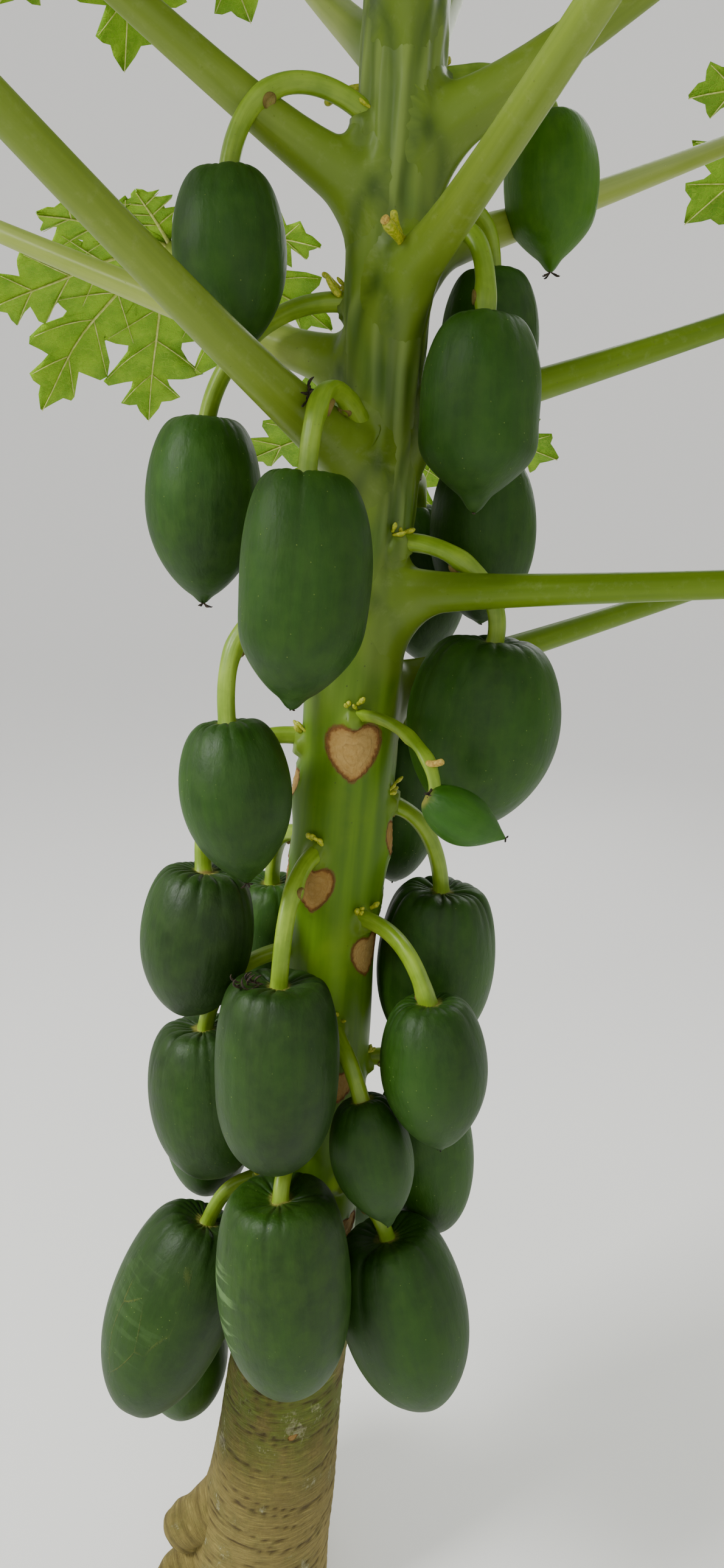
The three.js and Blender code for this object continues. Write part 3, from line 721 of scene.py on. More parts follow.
# %% Root knuckles and the stem's mesh
ROOT_COLUMNS = 40
ROOT_KNUCKLE = 0.7  # the share of a root's length from which it rounds off
stem = Skin()
stem.add_tube(stem_rings, **marks)
for number, (root_turn, root_height, reach, foot, root_radius) in enumerate(ROOTS):
    start = beside_stem(0.040, root_turn, root_height)
    end = beside_stem(reach - root_radius, root_turn, foot)
    bend = start + (end - start) * 0.55 + UP * root_radius * 0.35
    end_shares = ROOT_KNUCKLE + (1 - ROOT_KNUCKLE) * np.sin(np.linspace(0, pi / 2, 12))[1:]
    shares = np.concatenate([np.linspace(0, ROOT_KNUCKLE, 16), end_shares])
    corners = (start, start + (bend - start) * 2 / 3, end + (bend - end) * 2 / 3, end)
    points, ways, _ = bezier(corners, shares)
    round_off = np.sqrt(np.clip(1 - (np.maximum(0, shares - ROOT_KNUCKLE) / 0.302) ** 2, 0.003, 1))
    collar = 1 + 0.32 * np.exp(-((shares / 0.30) ** 2))
    waves = [(2, 1.5, 0.6), (3, 2.5, 0.5), (5, 4, 0.3)]
    root_turns = np.arange(ROOT_COLUMNS) * 360 / ROOT_COLUMNS
    lumps = 1 + 0.07 * ripple(root_turns, shares[:, None], waves, 20 + number)
    wide = (root_radius * round_off * collar)[:, None] * lumps
    root_rings, root_grain = carry(points, ways, outward(root_turn + 90), wide, wide, ROOT_COLUMNS)
    root_rings[..., 2] = np.maximum(root_rings[..., 2], 0.0)
    cracks = hump((np.abs((shares[:, None] * 9 + 0.1 * lumps) % 1 - 0.5)) / 0.1) * 0.6 + 0 * wide
    stem.add_tube(root_rings, grain=root_grain + [0, 0, 0.1], groove=cracks)
print("roots:", len(ROOTS))

# %% [markdown]
# ### The bark's finish
# Three skins meet on the stem: ringed cork at the foot, smooth green in the middle and waxy grey-green
# under the crown, paler towards the top, partly in the wax's own colour and partly as painted highlight.
# Height decides between them, with a cloudy edge, and the relief's own values colour the scars, the ring
# lines and the ridges, whose pale margins are partly waxy and partly painted highlight. Painted shade
# lies in the flute grooves, along the arches and under the leaf bases.

# %% Bark
def bark_finish():
    """The stem's material, from the foot up."""
    paint = Paint("bark")
    grain = paint.grain()
    level = paint.node("SeparateXYZ", {0: grain}, output="Z")
    cloud = paint.noise(grain, 13, detail=4)
    streak = paint.noise(paint.stretch(grain, 1, 1, 0.05), 70, detail=3, rough=0.5)
    fine = paint.noise(paint.stretch(grain, 1, 1, 0.5), 420, detail=3)
    shifted = level + (cloud - 0.5) * 0.26
    old = 1 - paint.ease(shifted, 0.40, 0.56)
    young = paint.ease(shifted, 1.08, 1.42)

    green = paint.mix(paint.ease(streak, 0.25, 0.80), tint(70, 106, 0), tint(96, 134, 4))
    green = paint.mix(paint.ease(cloud, 0.46, 0.72) * 0.4, green, tint(124, 150, 14))
    waxy = paint.mix(paint.ease(streak, 0.30, 0.75), tint(74, 104, 20), tint(100, 130, 42))
    # paler towards the top: partly the wax's own pallor and partly painted highlight
    waxy = paint.mix(paint.ease(shifted, 1.56, 1.84) * 0.75, waxy, tint(140, 160, 78))
    skin = paint.mix(young, green, waxy)
    skin = paint.mix(paint.mark("seat") * 0.9, skin, SEAT_TONE)
    # pale margins beside the grooves: partly the wax's own pallor and partly painted highlight on the relief
    skin = paint.mix(paint.mark("ridge") * (streak * 0.7 + 0.3) * 0.5, skin, tint(160, 178, 100))
    # painted shade under the leaf bases, along the arches and in the flute grooves
    skin = paint.mix(paint.mark("dark"), skin, PAINTED_SHADE_TONE)
    freckle = paint.cells(grain, 95)
    spots = (1 - paint.ease(freckle, 0.05, 0.10)) * (1 - old) * paint.ease(cloud, 0.42, 0.6)
    skin = paint.mix(spots * 0.8, skin, tint(52, 60, 18))

    patch = paint.noise(paint.stretch(grain, 1, 1, 0.8), 26, detail=5, rough=0.65)
    cork = paint.mix(paint.ease(cloud + fine * 0.4, 0.5, 0.95), tint(98, 88, 38), tint(134, 122, 62))
    cork = paint.mix((1 - paint.ease(shifted, 0.05, 0.34)) * 0.6, cork, tint(168, 150, 86))
    cork = paint.mix(paint.ease(patch, 0.45, 0.70) * 0.55, cork, tint(104, 104, 48))
    mossy = paint.ease(level, 0.20, 0.38) * paint.ease(patch, 0.34, 0.58)
    cork = paint.mix(mossy * 0.8, cork, tint(92, 112, 26))
    lichen = paint.ease(patch + fine * 0.25, 0.73, 0.82) * (1 - paint.ease(level, 0.30, 0.42))
    cork = paint.mix(lichen * 0.7, cork, tint(172, 170, 134))
    flake = paint.noise(paint.stretch(grain, 0.35, 0.35, 4), 110, detail=5, rough=0.7)
    cork = paint.mix((1 - paint.ease(flake, 0.36, 0.50)) * 0.45, cork, tint(82, 68, 32))
    cork = paint.mix(paint.mark("groove") * 0.85, cork, tint(58, 42, 20))
    skin = paint.mix(old, skin, cork)
    skin = paint.mix(paint.mark("groove") * (1 - old) * 0.5, skin, tint(60, 58, 18))

    blot = paint.noise(grain, 210, detail=5, rough=0.7)
    scar = paint.mark("scar") + (blot - 0.5) * 0.20 + (fine - 0.5) * 0.10
    heart = paint.ease(scar, 1.98, 2.03)
    mottle = paint.ease(blot * 0.5 + cloud * 0.5, 0.32, 0.68)
    corky = paint.mix(mottle, tint(158, 122, 60), tint(184, 152, 90))
    for place in (2.32, 2.62):
        line = paint.ease(scar, place - 0.05, place) * (1 - paint.ease(scar, place, place + 0.05))
        corky = paint.mix(line * paint.ease(blot, 0.40, 0.60) * 0.4, corky, tint(112, 78, 34))
    corky = paint.mix((1 - paint.ease(scar, 2.02, 2.30)) * 0.5, corky, tint(132, 84, 34))
    skin = paint.mix(heart, skin, corky)
    rim = paint.ease(scar, 1.88, 1.97) * (1 - paint.ease(scar, 2.05, 2.14))
    skin = paint.mix(rim * 0.8, skin, tint(108, 66, 26))

    rough = 0.42 + old * 0.34 + heart * 0.35 + streak * 0.1
    height = streak * 0.15 + fine * 0.08 + (fine * 0.5 + blot * 0.6) * (old + heart)
    height = height + paint.ease(flake, 0.34, 0.62) * old * 0.9
    return paint.finish(skin, rough, paint.bump(height, 0.0011), Specular_IOR_Level=SATIN)


# round a stalk's seat, and the painted shade in the arches beside it: the stalks start from the same two
# tones
SEAT_TONE, PAINTED_SHADE_TONE = tint(108, 132, 36), tint(38, 66, 10)
bark = bark_finish()
stem.build("stem", [bark], "bark", ["trunk"])

# %% [markdown]
# ## The leaf stalks
# A stalk leaves the stem level, turns up at an elbow and then runs dead straight to its blade. Near the
# stem it spreads along a smooth corner that is rolled over the stem's own skin, so the two run together.

# %% Leaf stalks
STALK_COLUMNS = 58
OLIVE, GREEN, PALE = 0, 1, 2
# the tones of the stalks that show; the others take turns
STALK_TONES = {
    4: OLIVE, 8: OLIVE, 10: OLIVE, 11: OLIVE, 6: PALE, 7: PALE, 9: PALE, 5: GREEN, 2: GREEN, 1: GREEN,
}


def leaf_path(leaf, shares):
    """The stalk's curve: level from the stem to the elbow, then straight up the rise."""
    height, turn, rise, stalk, *_ = leaf
    out = outward(turn)
    start = beside_stem(between(height, RADIUS) * INSET, turn, height)
    elbow = beside_stem(ELBOW_REACH * leaf_scale(stalk), turn, height)
    way = out * cos(radians(rise)) + UP * sin(radians(rise))
    return bezier((start, elbow, elbow + way * 0.3 * stalk, elbow + way * stalk), shares)


def leaf_stalk(leaf, number):
    """The rings of one stalk: a clasping base, an even taper with faint ridges along it, and a small
    knob where the blade's ribs meet. Near the stem all sides swell by the corner, rolled over the stem's
    own skin: the turn grows by swell * cos / reach, the height sinks by swell * sin, and the distance
    from the skin stays. Inside the stem they go on swelling, so the rim meets the skin at a low angle."""
    _, turn, rise, stalk, _, _, _ = leaf
    near_stem, beyond = np.linspace(0, 0.085, 40), 0.085 + 0.885 * np.linspace(0, 1, 19)[1:] ** 1.4
    shares = np.concatenate([near_stem, beyond, [0.98, 0.99, 0.996, 1.0]])
    points, ways, _ = leaf_path(leaf, shares)
    t = shares[:, None]
    angle = np.arange(STALK_COLUMNS) * 2 * pi / STALK_COLUMNS
    ridges = 0.010 * np.cos(5 * angle + number) + 0.006 * np.cos(8 * angle + 2 * number)
    half = stalk_half(leaf, t) * (1 + ridges)
    knob = 1 + 0.22 * hump((t - 0.985) / 0.012)
    half = half * knob * np.sqrt(np.clip(1 - (np.maximum(0, t - 0.99) / 0.0101) ** 2, 0.02, 1))
    tall = 1 + (STALK_FLARE - 1) * np.exp(-20 * t)
    side = outward(turn + 90)
    rings, straight = carry(points, ways, side, half, half * tall, STALK_COLUMNS)
    level = rings[..., 2]
    x = rings[..., 0] - between(level, SIDE)
    reach, facing = np.hypot(x, rings[..., 1]), np.degrees(np.arctan2(x, -rings[..., 1]))
    away = reach - stem_reach(level, facing)
    corner = seat_reach(np.sin(angle), rise) * leaf_scale(stalk)
    swell = (fillet(away, corner) + 4 * np.clip(-away, 0, 0.006)) * (t < 0.3)
    facing = facing + np.degrees(swell * np.cos(angle) / reach)
    level = level - swell * np.sin(angle)
    reach = stem_reach(level, facing) + away
    middle = np.stack([between(level, SIDE), 0 * level, level], -1)
    # painted shade from the stem's arches and from under the base, carried onto the stalk and faded out away
    # from the stem
    _, valley, dark = flutes(level, facing)
    shade = np.maximum(0.8 * dark, 0.45 * valley) * (1 - ease(0.003, 0.020, away)) * ease(*WAXY, level)
    marks = {"grain": straight + [0.3 * number, 0, 0], "away": away, "dark": shade}
    return middle + outward(facing) * reach[..., None], marks


leaf_stalks = Skin()
for number, leaf in enumerate(LEAVES, 1):
    stalk_rings, stalk_marks = leaf_stalk(leaf, number)
    tone = STALK_TONES.get(number, OLIVE if number % 3 else PALE)
    leaf_stalks.add_tube(stalk_rings, finish=tone, **stalk_marks)
print("a leaf stalk has", len(stalk_rings), "rings of", STALK_COLUMNS, "points")

# %% [markdown]
# Stalks are smooth and a little waxy, with faint lines along them and small brown specks. The tone
# changes from leaf to leaf, so three colours are dealt out by leaf, and all start from the stem's own,
# with the stem's painted shade carried on near it.

# %% Stalk finishes
def stalk_finish(name, low, high):
    """A leaf stalk's material: soft lengthwise lines between two greens, from the seat's tone outward."""
    paint = Paint(name)
    grain = paint.grain()
    line = paint.noise(paint.stretch(grain, 1, 1, 0.02), 190, detail=2)
    cloud = paint.noise(paint.stretch(grain, 1, 1, 0.25), 18, detail=3)
    color = paint.mix(paint.ease(line * 0.6 + cloud, 0.45, 1.15), low, high)
    near = 1 - paint.ease(paint.mark("away") + (cloud - 0.5) * 0.03, 0.015, 0.085)
    color = paint.mix(near, color, SEAT_TONE)
    # painted shade near the stem, as on the stem itself
    color = paint.mix(paint.mark("dark"), color, PAINTED_SHADE_TONE)
    speck = 1 - paint.ease(paint.cells(grain, 110), 0.04, 0.09)
    color = paint.mix(speck * paint.ease(cloud, 0.5, 0.62) * 0.8, color, tint(84, 74, 26))
    bloom = paint.ease(paint.noise(grain, 90, detail=5, rough=0.7), 0.5, 0.8)
    color = paint.mix(bloom * 0.14, color, tint(186, 194, 140))
    normal = paint.bump(line * 0.5 + speck * 0.8, 0.0003)
    return paint.finish(color, 0.40 + bloom * 0.2, normal, Specular_IOR_Level=SATIN)


olive_stalk = stalk_finish("stalk_olive", tint(104, 126, 28), tint(126, 146, 48))
green_stalk = stalk_finish("stalk_green", tint(90, 118, 0), tint(110, 138, 6))
pale_stalk = stalk_finish("stalk_pale", tint(142, 160, 60), tint(168, 182, 90))
leaf_nodes = [f"leaf_{number:02d}" for number in range(1, len(LEAVES) + 1)]
leaf_stalks.build("leaf_stalks", [olive_stalk, green_stalk, pale_stalk], "leaf", leaf_nodes)

# %% [markdown]
# ## The blades
# A blade is a hand of lobes round the hub, each with its own rib, and each cut again into side lobes
# that point forward. The grid of one lobe follows this: each row starts on the rib and runs forward to
# the outline, as a side vein does, so the rows that end on a tooth are also where the side veins lie.

# %% The outline of a lobe
# place along the lobe, half width there, and where that row starts on the rib, as shares of its reach
LOBE_OUTLINE = np.array([
    (0.390, 0.150, 0.255), (0.445, 0.176, 0.300), (0.500, 0.222, 0.340), (0.545, 0.246, 0.370),
    (0.566, 0.200, 0.415), (0.580, 0.132, 0.460), (0.620, 0.138, 0.495), (0.690, 0.200, 0.525),
    (0.752, 0.250, 0.550), (0.778, 0.216, 0.595), (0.786, 0.150, 0.640), (0.795, 0.094, 0.690),
    (0.832, 0.108, 0.725), (0.888, 0.150, 0.755), (0.905, 0.120, 0.795), (0.912, 0.070, 0.840),
    (0.950, 0.050, 0.890), (1.000, 0.003, 0.990),
])
TOOTH_ROWS = (3, 8, 13)
WEB_ROWS = np.array([0.05, 0.40, 0.75, 1.0])  # rows between the hub and the notch, as shares of the way
RIB_AT_NOTCH = 0.19
WEB_REACH = 0.34  # of the notches between the lobes
HALF_COLUMNS = 3


def lobes_of(span):
    """Turn and reach of each lobe. Young leaves have fewer pairs."""
    pairs = 4 if span > 0.300 else 3 if span > 0.200 else 2
    return [(np.sign(i) * LOBE_TURNS[abs(i)], LOBE_REACH[abs(i)]) for i in range(-pairs, pairs + 1)]


def leaf_surface(leaf, number):
    """A function that lifts flat leaf places into space. x runs ahead and y to the left, in shares of
    the reach. Height is lift + waves - droop * (x^2 + y^2), and the lobes' ends hang unevenly."""
    _, turn, _, _, span, hang, _ = leaf
    points, _, _ = leaf_path(leaf, np.array([0, 1.0]))
    out, tip = outward(turn), radians(hang)
    ahead = out * cos(tip) - UP * sin(tip)
    left = outward(turn + 90)
    above = UP * cos(tip) + out * sin(tip)
    a, b, c = np.random.default_rng(100 + number).uniform(0, 2 * pi, 3)

    def place(x, y, lift):
        """Points in space for flat places and their lift off the sheet."""
        far = x * x + y * y
        bearing = np.arctan2(y, x)
        droop = DROOP * (1 + 0.30 * np.sin(2.6 * bearing + a) * ease(0.10, 0.8, far))
        wave = 0.016 * np.sin(9 * x + b) * np.sin(8 * y + c) * ease(0.02, 0.2, far)
        z = lift + wave - droop * far
        return points[-1] + span * (ahead * x[..., None] + left * y[..., None] + above * z[..., None])

    return place


# %% Blades
def lobe_sheet(lobe, sides, rng):
    """Flat places of one lobe's grid. Each row goes from its edge on one side over the rib to the other
    edge. Up to the notches the edges run along the line to the notch, which the next lobe shares."""
    turn, reach = lobe
    edges = []
    for side, (notch_turn, notch_reach) in zip((-1, 1), sides):
        stretch = rng.uniform(0.88, 1.12, len(LOBE_OUTLINE))
        x = WEB_ROWS * notch_reach * cos(radians(notch_turn))
        y = WEB_ROWS * notch_reach * sin(radians(notch_turn))
        along, wide = LOBE_OUTLINE[:, 0] * reach, side * LOBE_OUTLINE[:, 1] * stretch * min(1, reach + 0.1)
        a = radians(turn)
        x = np.concatenate([x, along * cos(a) - wide * sin(a)])
        y = np.concatenate([y, along * sin(a) + wide * cos(a)])
        edges.append(np.stack([x, y], -1))
    rib = np.concatenate([WEB_ROWS * RIB_AT_NOTCH, LOBE_OUTLINE[:, 2]]) * reach
    rib = np.stack([rib * cos(radians(turn)), rib * sin(radians(turn))], -1)
    v = np.linspace(-1, 1, 2 * HALF_COLUMNS + 1)[None, :, None]
    edge = np.where(v < 0, edges[0][:, None], edges[1][:, None])
    return rib[:, None] + np.abs(v) * (edge - rib[:, None]), rib, edges


def sheet_faces(rows, columns):
    """The quads of a sheet's grid, which face up when rows run outward and columns to the left."""
    i, j = np.meshgrid(np.arange(rows - 1), np.arange(columns - 1), indexing="ij")
    a = i * columns + j
    return [np.stack([a, a + columns, a + columns + 1, a + 1], -1).reshape(-1, 4)]


def vein(place, start, end, first, last, count, columns, dip=0.006):
    """A vein as a thin tapering tube under the sheet, from one flat place to another."""
    t = np.linspace(0, 1, count)[:, None]
    flat_line = start + (end - start) * t
    points = place(flat_line[:, 0], flat_line[:, 1], np.full(count, -dip))
    ways = unit(np.gradient(points, axis=0))
    size = first + (last - first) * t
    return carry(points, ways, np.array([0.3, 0.5, 1.0]), size, size, columns)


YOUNGEST = 21  # from this leaf on, the blades are young and bright
blades, veins = Skin(), Skin()
for number, leaf in enumerate(LEAVES, 1):
    span = leaf[4]
    rng = np.random.default_rng(200 + number)
    place = leaf_surface(leaf, number)
    lobes = lobes_of(span)
    tone = 0 if number >= YOUNGEST else 1 + number % 2
    size = 0.0036 * np.sqrt(span / 0.34)
    for i, lobe in enumerate(lobes):
        sides = []
        for step in (-1, 1):
            j = i + step
            if 0 <= j < len(lobes):
                sides.append(((lobe[0] + lobes[j][0]) / 2, WEB_REACH * min(lobe[1], lobes[j][1])))
            else:
                sides.append((lobe[0] + step * 26, 0.13 * lobe[1]))
        flat_grid, rib, edges = lobe_sheet(lobe, sides, rng)
        v = np.abs(np.linspace(-1, 1, 2 * HALF_COLUMNS + 1))[None, :]
        rows = np.arange(len(flat_grid))[:, None]
        crease = 0.020 * v * (1 - 0.5 * v) + 0.005 * np.sin(rows * 1.3) * v
        points = place(flat_grid[..., 0], flat_grid[..., 1], crease)
        blades.add(points.reshape(-1, 3), sheet_faces(*flat_grid.shape[:2]), finish=tone)
        veins.add_tube(vein(place, rib[0] * 0.2, rib[-1], size, 0.0007, 12, 6)[0])
        for row in TOOTH_ROWS:
            root = rib[row + len(WEB_ROWS)]
            for edge in edges:
                tip = root + (edge[row + len(WEB_ROWS)] - root) * 0.93
                veins.add_tube(vein(place, root, tip, size * 0.42, 0.0005, 5, 4, dip=0.002)[0])
print("lobes on the first leaf and on the last:", len(lobes_of(LEAVES[0][4])), len(lobes_of(LEAVES[-1][4])))

# %% [markdown]
# The upper side is a deep satin green and the underside is pale and matt, so the sheet gets a real
# thickness and the second side takes its own material. The youngest leaves at the top are the
# brightest. Veins are yellow-green and stand out below.

# %% Blade finishes
def blade_finish(name, low, high, roughness):
    """One side of a blade: soft mottling between two greens, and a puckered surface."""
    paint = Paint(name)
    place = paint.place()
    cloud = paint.noise(place, 26, detail=4)
    fine = paint.cells(place, 170, feature="DISTANCE_TO_EDGE")
    net = 1 - paint.ease(fine, 0.02, 0.14)
    color = paint.mix(paint.ease(cloud, 0.32, 0.68), low, high)
    color = paint.mix(net * 0.22, color, tint(168, 190, 60))
    normal = paint.bump(cloud * 2 - net * 0.5, 0.0010)
    return paint.finish(color, roughness + cloud * 0.12, normal, Specular_IOR_Level=SATIN)


tops = [
    blade_finish("blade_young", tint(96, 150, 8), tint(138, 182, 24), 0.42),
    blade_finish("blade_mature", tint(48, 96, 4), tint(78, 128, 10), 0.38),
    blade_finish("blade_deep", tint(40, 86, 6), tint(66, 114, 12), 0.38),
]
undersides = [
    blade_finish("underside_young", tint(126, 176, 20), tint(158, 200, 44), 0.6),
    blade_finish("underside_mature", tint(104, 152, 8), tint(136, 180, 24), 0.6),
    blade_finish("underside_deep", tint(92, 140, 8), tint(124, 168, 24), 0.6),
]
blade_piece = blades.build("blades", tops + undersides, "leaf", leaf_nodes)
thick = blade_piece.modifiers.new("thickness", "SOLIDIFY")
thick.thickness = 0.0010
thick.offset = -1
thick.material_offset = len(tops)
thick.material_offset_rim = len(tops)


def vein_finish():
    """The ribs and veins: yellow-green, paler in streaks."""
    paint = Paint("vein")
    place = paint.place()
    streak = paint.ease(paint.noise(place, 120, detail=3), 0.35, 0.65)
    color = paint.mix(streak, tint(168, 180, 74), tint(200, 204, 120))
    return paint.finish(color, 0.5, paint.bump(paint.noise(place, 500, detail=2), 0.0003))


veins.build("veins", [vein_finish()], "leaf", leaf_nodes)

# %% [markdown]
# ## The fruit
# A green papaya is a smooth drop or barrel with five faint ribs. Round its stalk the rind sinks into a
# dimple, and the ribs break up there into radiating pleats. The profile is the solids' own, a power of
# a sine, and the pleats are narrow valleys that run out from the stalk and fade over the shoulder.

# %% What is special about some fruit
# number: how deep the pleats are, how far the flank bows sideways as a share of the length, waist,
# the nub at the tip in metres, tone
# of the tones, the two darker copies of the deep rind are painted shade, and the sunny one is partly the
# fruit's own younger colour and partly painted sunlight
DEEP, DIMMED, FRESH, SHADED, SUNNY, RUBBED, SCABBED = range(7)
FRUIT_NOTES = {
    1: (0.5, 0, 0, 0.006, SUNNY), 2: (0.8, 0.01, 0, 0.002, DEEP), 3: (1.0, 0, 0, 0.002, DEEP),
    4: (0.9, 0.01, 0, 0.009, DEEP), 6: (0.9, 0.01, 0, 0.004, DEEP), 8: (1.5, -0.02, 0, 0.007, DEEP),
    10: (1.4, 0, 0, 0.001, DEEP), 12: (1.6, 0, 0, 0.003, DIMMED), 14: (0.5, 0.03, 0, 0.001, FRESH),
    15: (1.8, 0, 0, 0.001, SHADED), 16: (2.4, 0, 0, 0.001, DEEP), 18: (2.1, 0, 0.015, 0.002, SHADED),
    19: (1.3, 0, 0, 0.003, DIMMED), 20: (1.6, 0, 0, 0.001, SHADED), 21: (0.9, 0.02, 0, 0.004, DIMMED),
    25: (1.1, 0, 0, 0.006, RUBBED), 27: (1.2, 0.01, 0, 0.010, DIMMED), 28: (1.2, 0.02, 0, 0.002, SCABBED),
}
PLAIN_FRUIT = (1.4, 0, 0, 0.002, DEEP)
# fruit: how much fuller its lower part is than a plain drop, and at what share of the length
BELLIES = {1: 0.13, 3: 0.10, 4: 0.22, 8: 0.12}
BELLY_AT, BELLY_SPREAD = 0.78, 0.16
# fruit: single deep creases, each as the turn that it faces, depth, length and width in degrees
CREASES = {
    10: [(-20, 0.0015, 0.060, 5)],
    16: [(-10, 0.0025, 0.060, 6), (22, 0.0025, 0.055, 6)],
    27: [(-34, 0.0045, 0.150, 7), (40, 0.0015, 0.100, 9)],
    28: [(18, 0.0035, 0.070, 4), (2, 0.0030, 0.060, 4)],
}
# fruit: where pale rub marks lie, as the turn round its middle, the share of its length, and both reaches
RUBBED_AT = {25: (58, 0.50, 28, 0.26), 28: (-30, 0.45, 45, 0.30)}
FRUIT_COLUMNS = 156


def fruit_frame(fruit):
    """Where the stalk meets the fruit, the way down its middle, and two directions square to that."""
    place, _, _, tilt, toward, _, _ = fruit
    down = outward(toward) * sin(radians(tilt)) - UP * cos(radians(tilt))
    front = unit(outward(place[1]) - down * (outward(place[1]) @ down))
    return beside_stem(*place), down, front, np.cross(down, front)


def fruit_power(full, t):
    """The power of the profile's sine: low at the shoulder, which is blunt, and higher at the tip."""
    return (1.05 * full - 0.29) * (1 - t) + (1.6 * full - 0.31) * t


def fruit_shares(full):
    """Shares of the length for the rings. On the crown and at the tip they are chosen for even steps in
    radius, by turning the profile's formula round, and between them for even steps in length."""
    at_crown, at_tip = fruit_power(full, 0), fruit_power(full, 1)
    crown = (np.arcsin(np.linspace(0.14, 0.90, 20) ** (1 / at_crown)) / pi) ** (1 / FRUIT_SHOULDER)
    tip = (1 - np.arcsin(np.linspace(0.74, 0.03, 18) ** (1 / at_tip)) / pi) ** (1 / FRUIT_SHOULDER)
    return np.concatenate([crown, np.linspace(crown[-1], tip[0], 32)[1:-1], tip])


def pleats(number, turn, strength, angle, run, size):
    """Depth of the creases that radiate from the stalk. Each is a valley e^-|x/w| that widens outward
    and fades along its own length. run is the way along the skin from the stalk's edge."""
    rng = np.random.default_rng(300 + number)
    count = int(rng.integers(18, 23))
    bearing = (np.arange(count) + rng.uniform(-0.32, 0.32, count)) * 360 / count
    depth = 0.0019 * strength * size * rng.uniform(0.25, 1.3, count)
    length = 0.052 * size * rng.uniform(0.6, 1.5, count)
    width = rng.uniform(3.4, 6.2, count)
    for facing, own_depth, own_length, own_width in CREASES.get(number, []):
        bearing, depth = np.append(bearing, turn - facing), np.append(depth, own_depth)
        length, width = np.append(length, own_length), np.append(width, own_width)
    bearing, depth, length, width = (v[:, None, None] for v in (bearing, depth, length, width))
    x = wrap(np.degrees(angle)[None] - bearing)
    valley = np.exp(-np.abs(x) / (width * (0.8 + 0.5 * run / length)))
    fade = ease(0.0, 0.012, run) * hump(run / length)
    return np.sum(depth * valley * fade, axis=0)


def fruit_skin(fruit, number):
    """The rings of one fruit. radius = half girth * sin(pi t^0.85)^power * (1 + belly), and the depth
    below the stalk's end is t (length + dip) - dip, with the dimple let back in round the stalk and a nub
    at the tip. Five ribs, an uneven bulge and the pleats then move each point along the normal."""
    crown, down, front, beside = fruit_frame(fruit)
    (_, turn, _), length, girth, _, _, _, full = fruit
    strength, bow, waist, nub, _ = FRUIT_NOTES.get(number, PLAIN_FRUIT)
    t = fruit_shares(full)[:, None]
    angle = (np.arange(FRUIT_COLUMNS) * 2 * pi / FRUIT_COLUMNS)[None, :]
    half = girth / 2
    dip = CROWN_DIP * length
    belly = 1 + BELLIES.get(number, 0) * hump((t - BELLY_AT) / BELLY_SPREAD)
    radius = half * np.sin(pi * t**FRUIT_SHOULDER) ** fruit_power(full, t) * belly
    depth = t * (length + dip) - dip
    depth = depth + dip * hump(radius / (0.36 * half)) * (1 - ease(0.1, 0.3, t))
    depth = depth + nub * np.exp(-((radius / (0.0045 + 0.7 * nub)) ** 3)) * (t > 0.9)
    slope = np.stack([np.gradient(radius[:, 0]), np.gradient(depth[:, 0])], -1)
    normal_out, normal_down = unit(slope)[:, 1:], -unit(slope)[:, :1]
    run = np.cumsum(np.linalg.norm(slope, axis=1))[:, None]
    fold = pleats(number, turn, strength, angle, run, half / 0.06)

    a = np.random.default_rng(400 + number).uniform(0, 2 * pi, 6)
    ribs = np.cos(5 * angle + a[0] + 0.3 * np.sin(angle + a[1]))
    ribs_fade = (0.30 + 0.70 * np.exp(-t / 0.25)) * np.sin(pi * t) ** 0.5
    bulge = 0.010 * np.cos(angle + a[2]) * np.sin(pi * t)
    bulge = bulge + 0.012 * np.cos(2 * angle + a[3]) * np.sin(2 * pi * t + a[4])
    bulge = bulge + 0.006 * np.cos(3 * angle + a[5] + 3 * t) - waist * hump((t - 0.50) / 0.14)
    shift = half * (0.018 * ribs * ribs_fade + bulge) - fold
    radius_now = radius + shift * normal_out
    depth_now = depth + shift * normal_down
    x, y = radius_now * np.cos(angle), radius_now * np.sin(angle)
    lean = bow * length * np.sin(pi * t) + 0 * angle
    rings = crown + down * depth_now[..., None] + front * x[..., None] + beside * (y + lean)[..., None]
    marks = {
        "grain": np.stack([x, y, depth_now], -1) + 0.5 * number,
        "share": t + 0 * angle,
        "fold": np.clip(fold / 0.0036, 0, 1),
        "crown": hump(radius / (0.014 + 0.03 * half)) * (t < 0.2) + 0 * angle,
    }
    if number in RUBBED_AT:
        rub_turn, rub_share, wide, long = RUBBED_AT[number]
        marks["rub"] = hump(wrap(np.degrees(angle) - rub_turn) / wide) * hump((t - rub_share) / long)
    return rings, marks


print("a fruit has", len(fruit_shares(0.5)), "rings of", FRUIT_COLUMNS, "points")
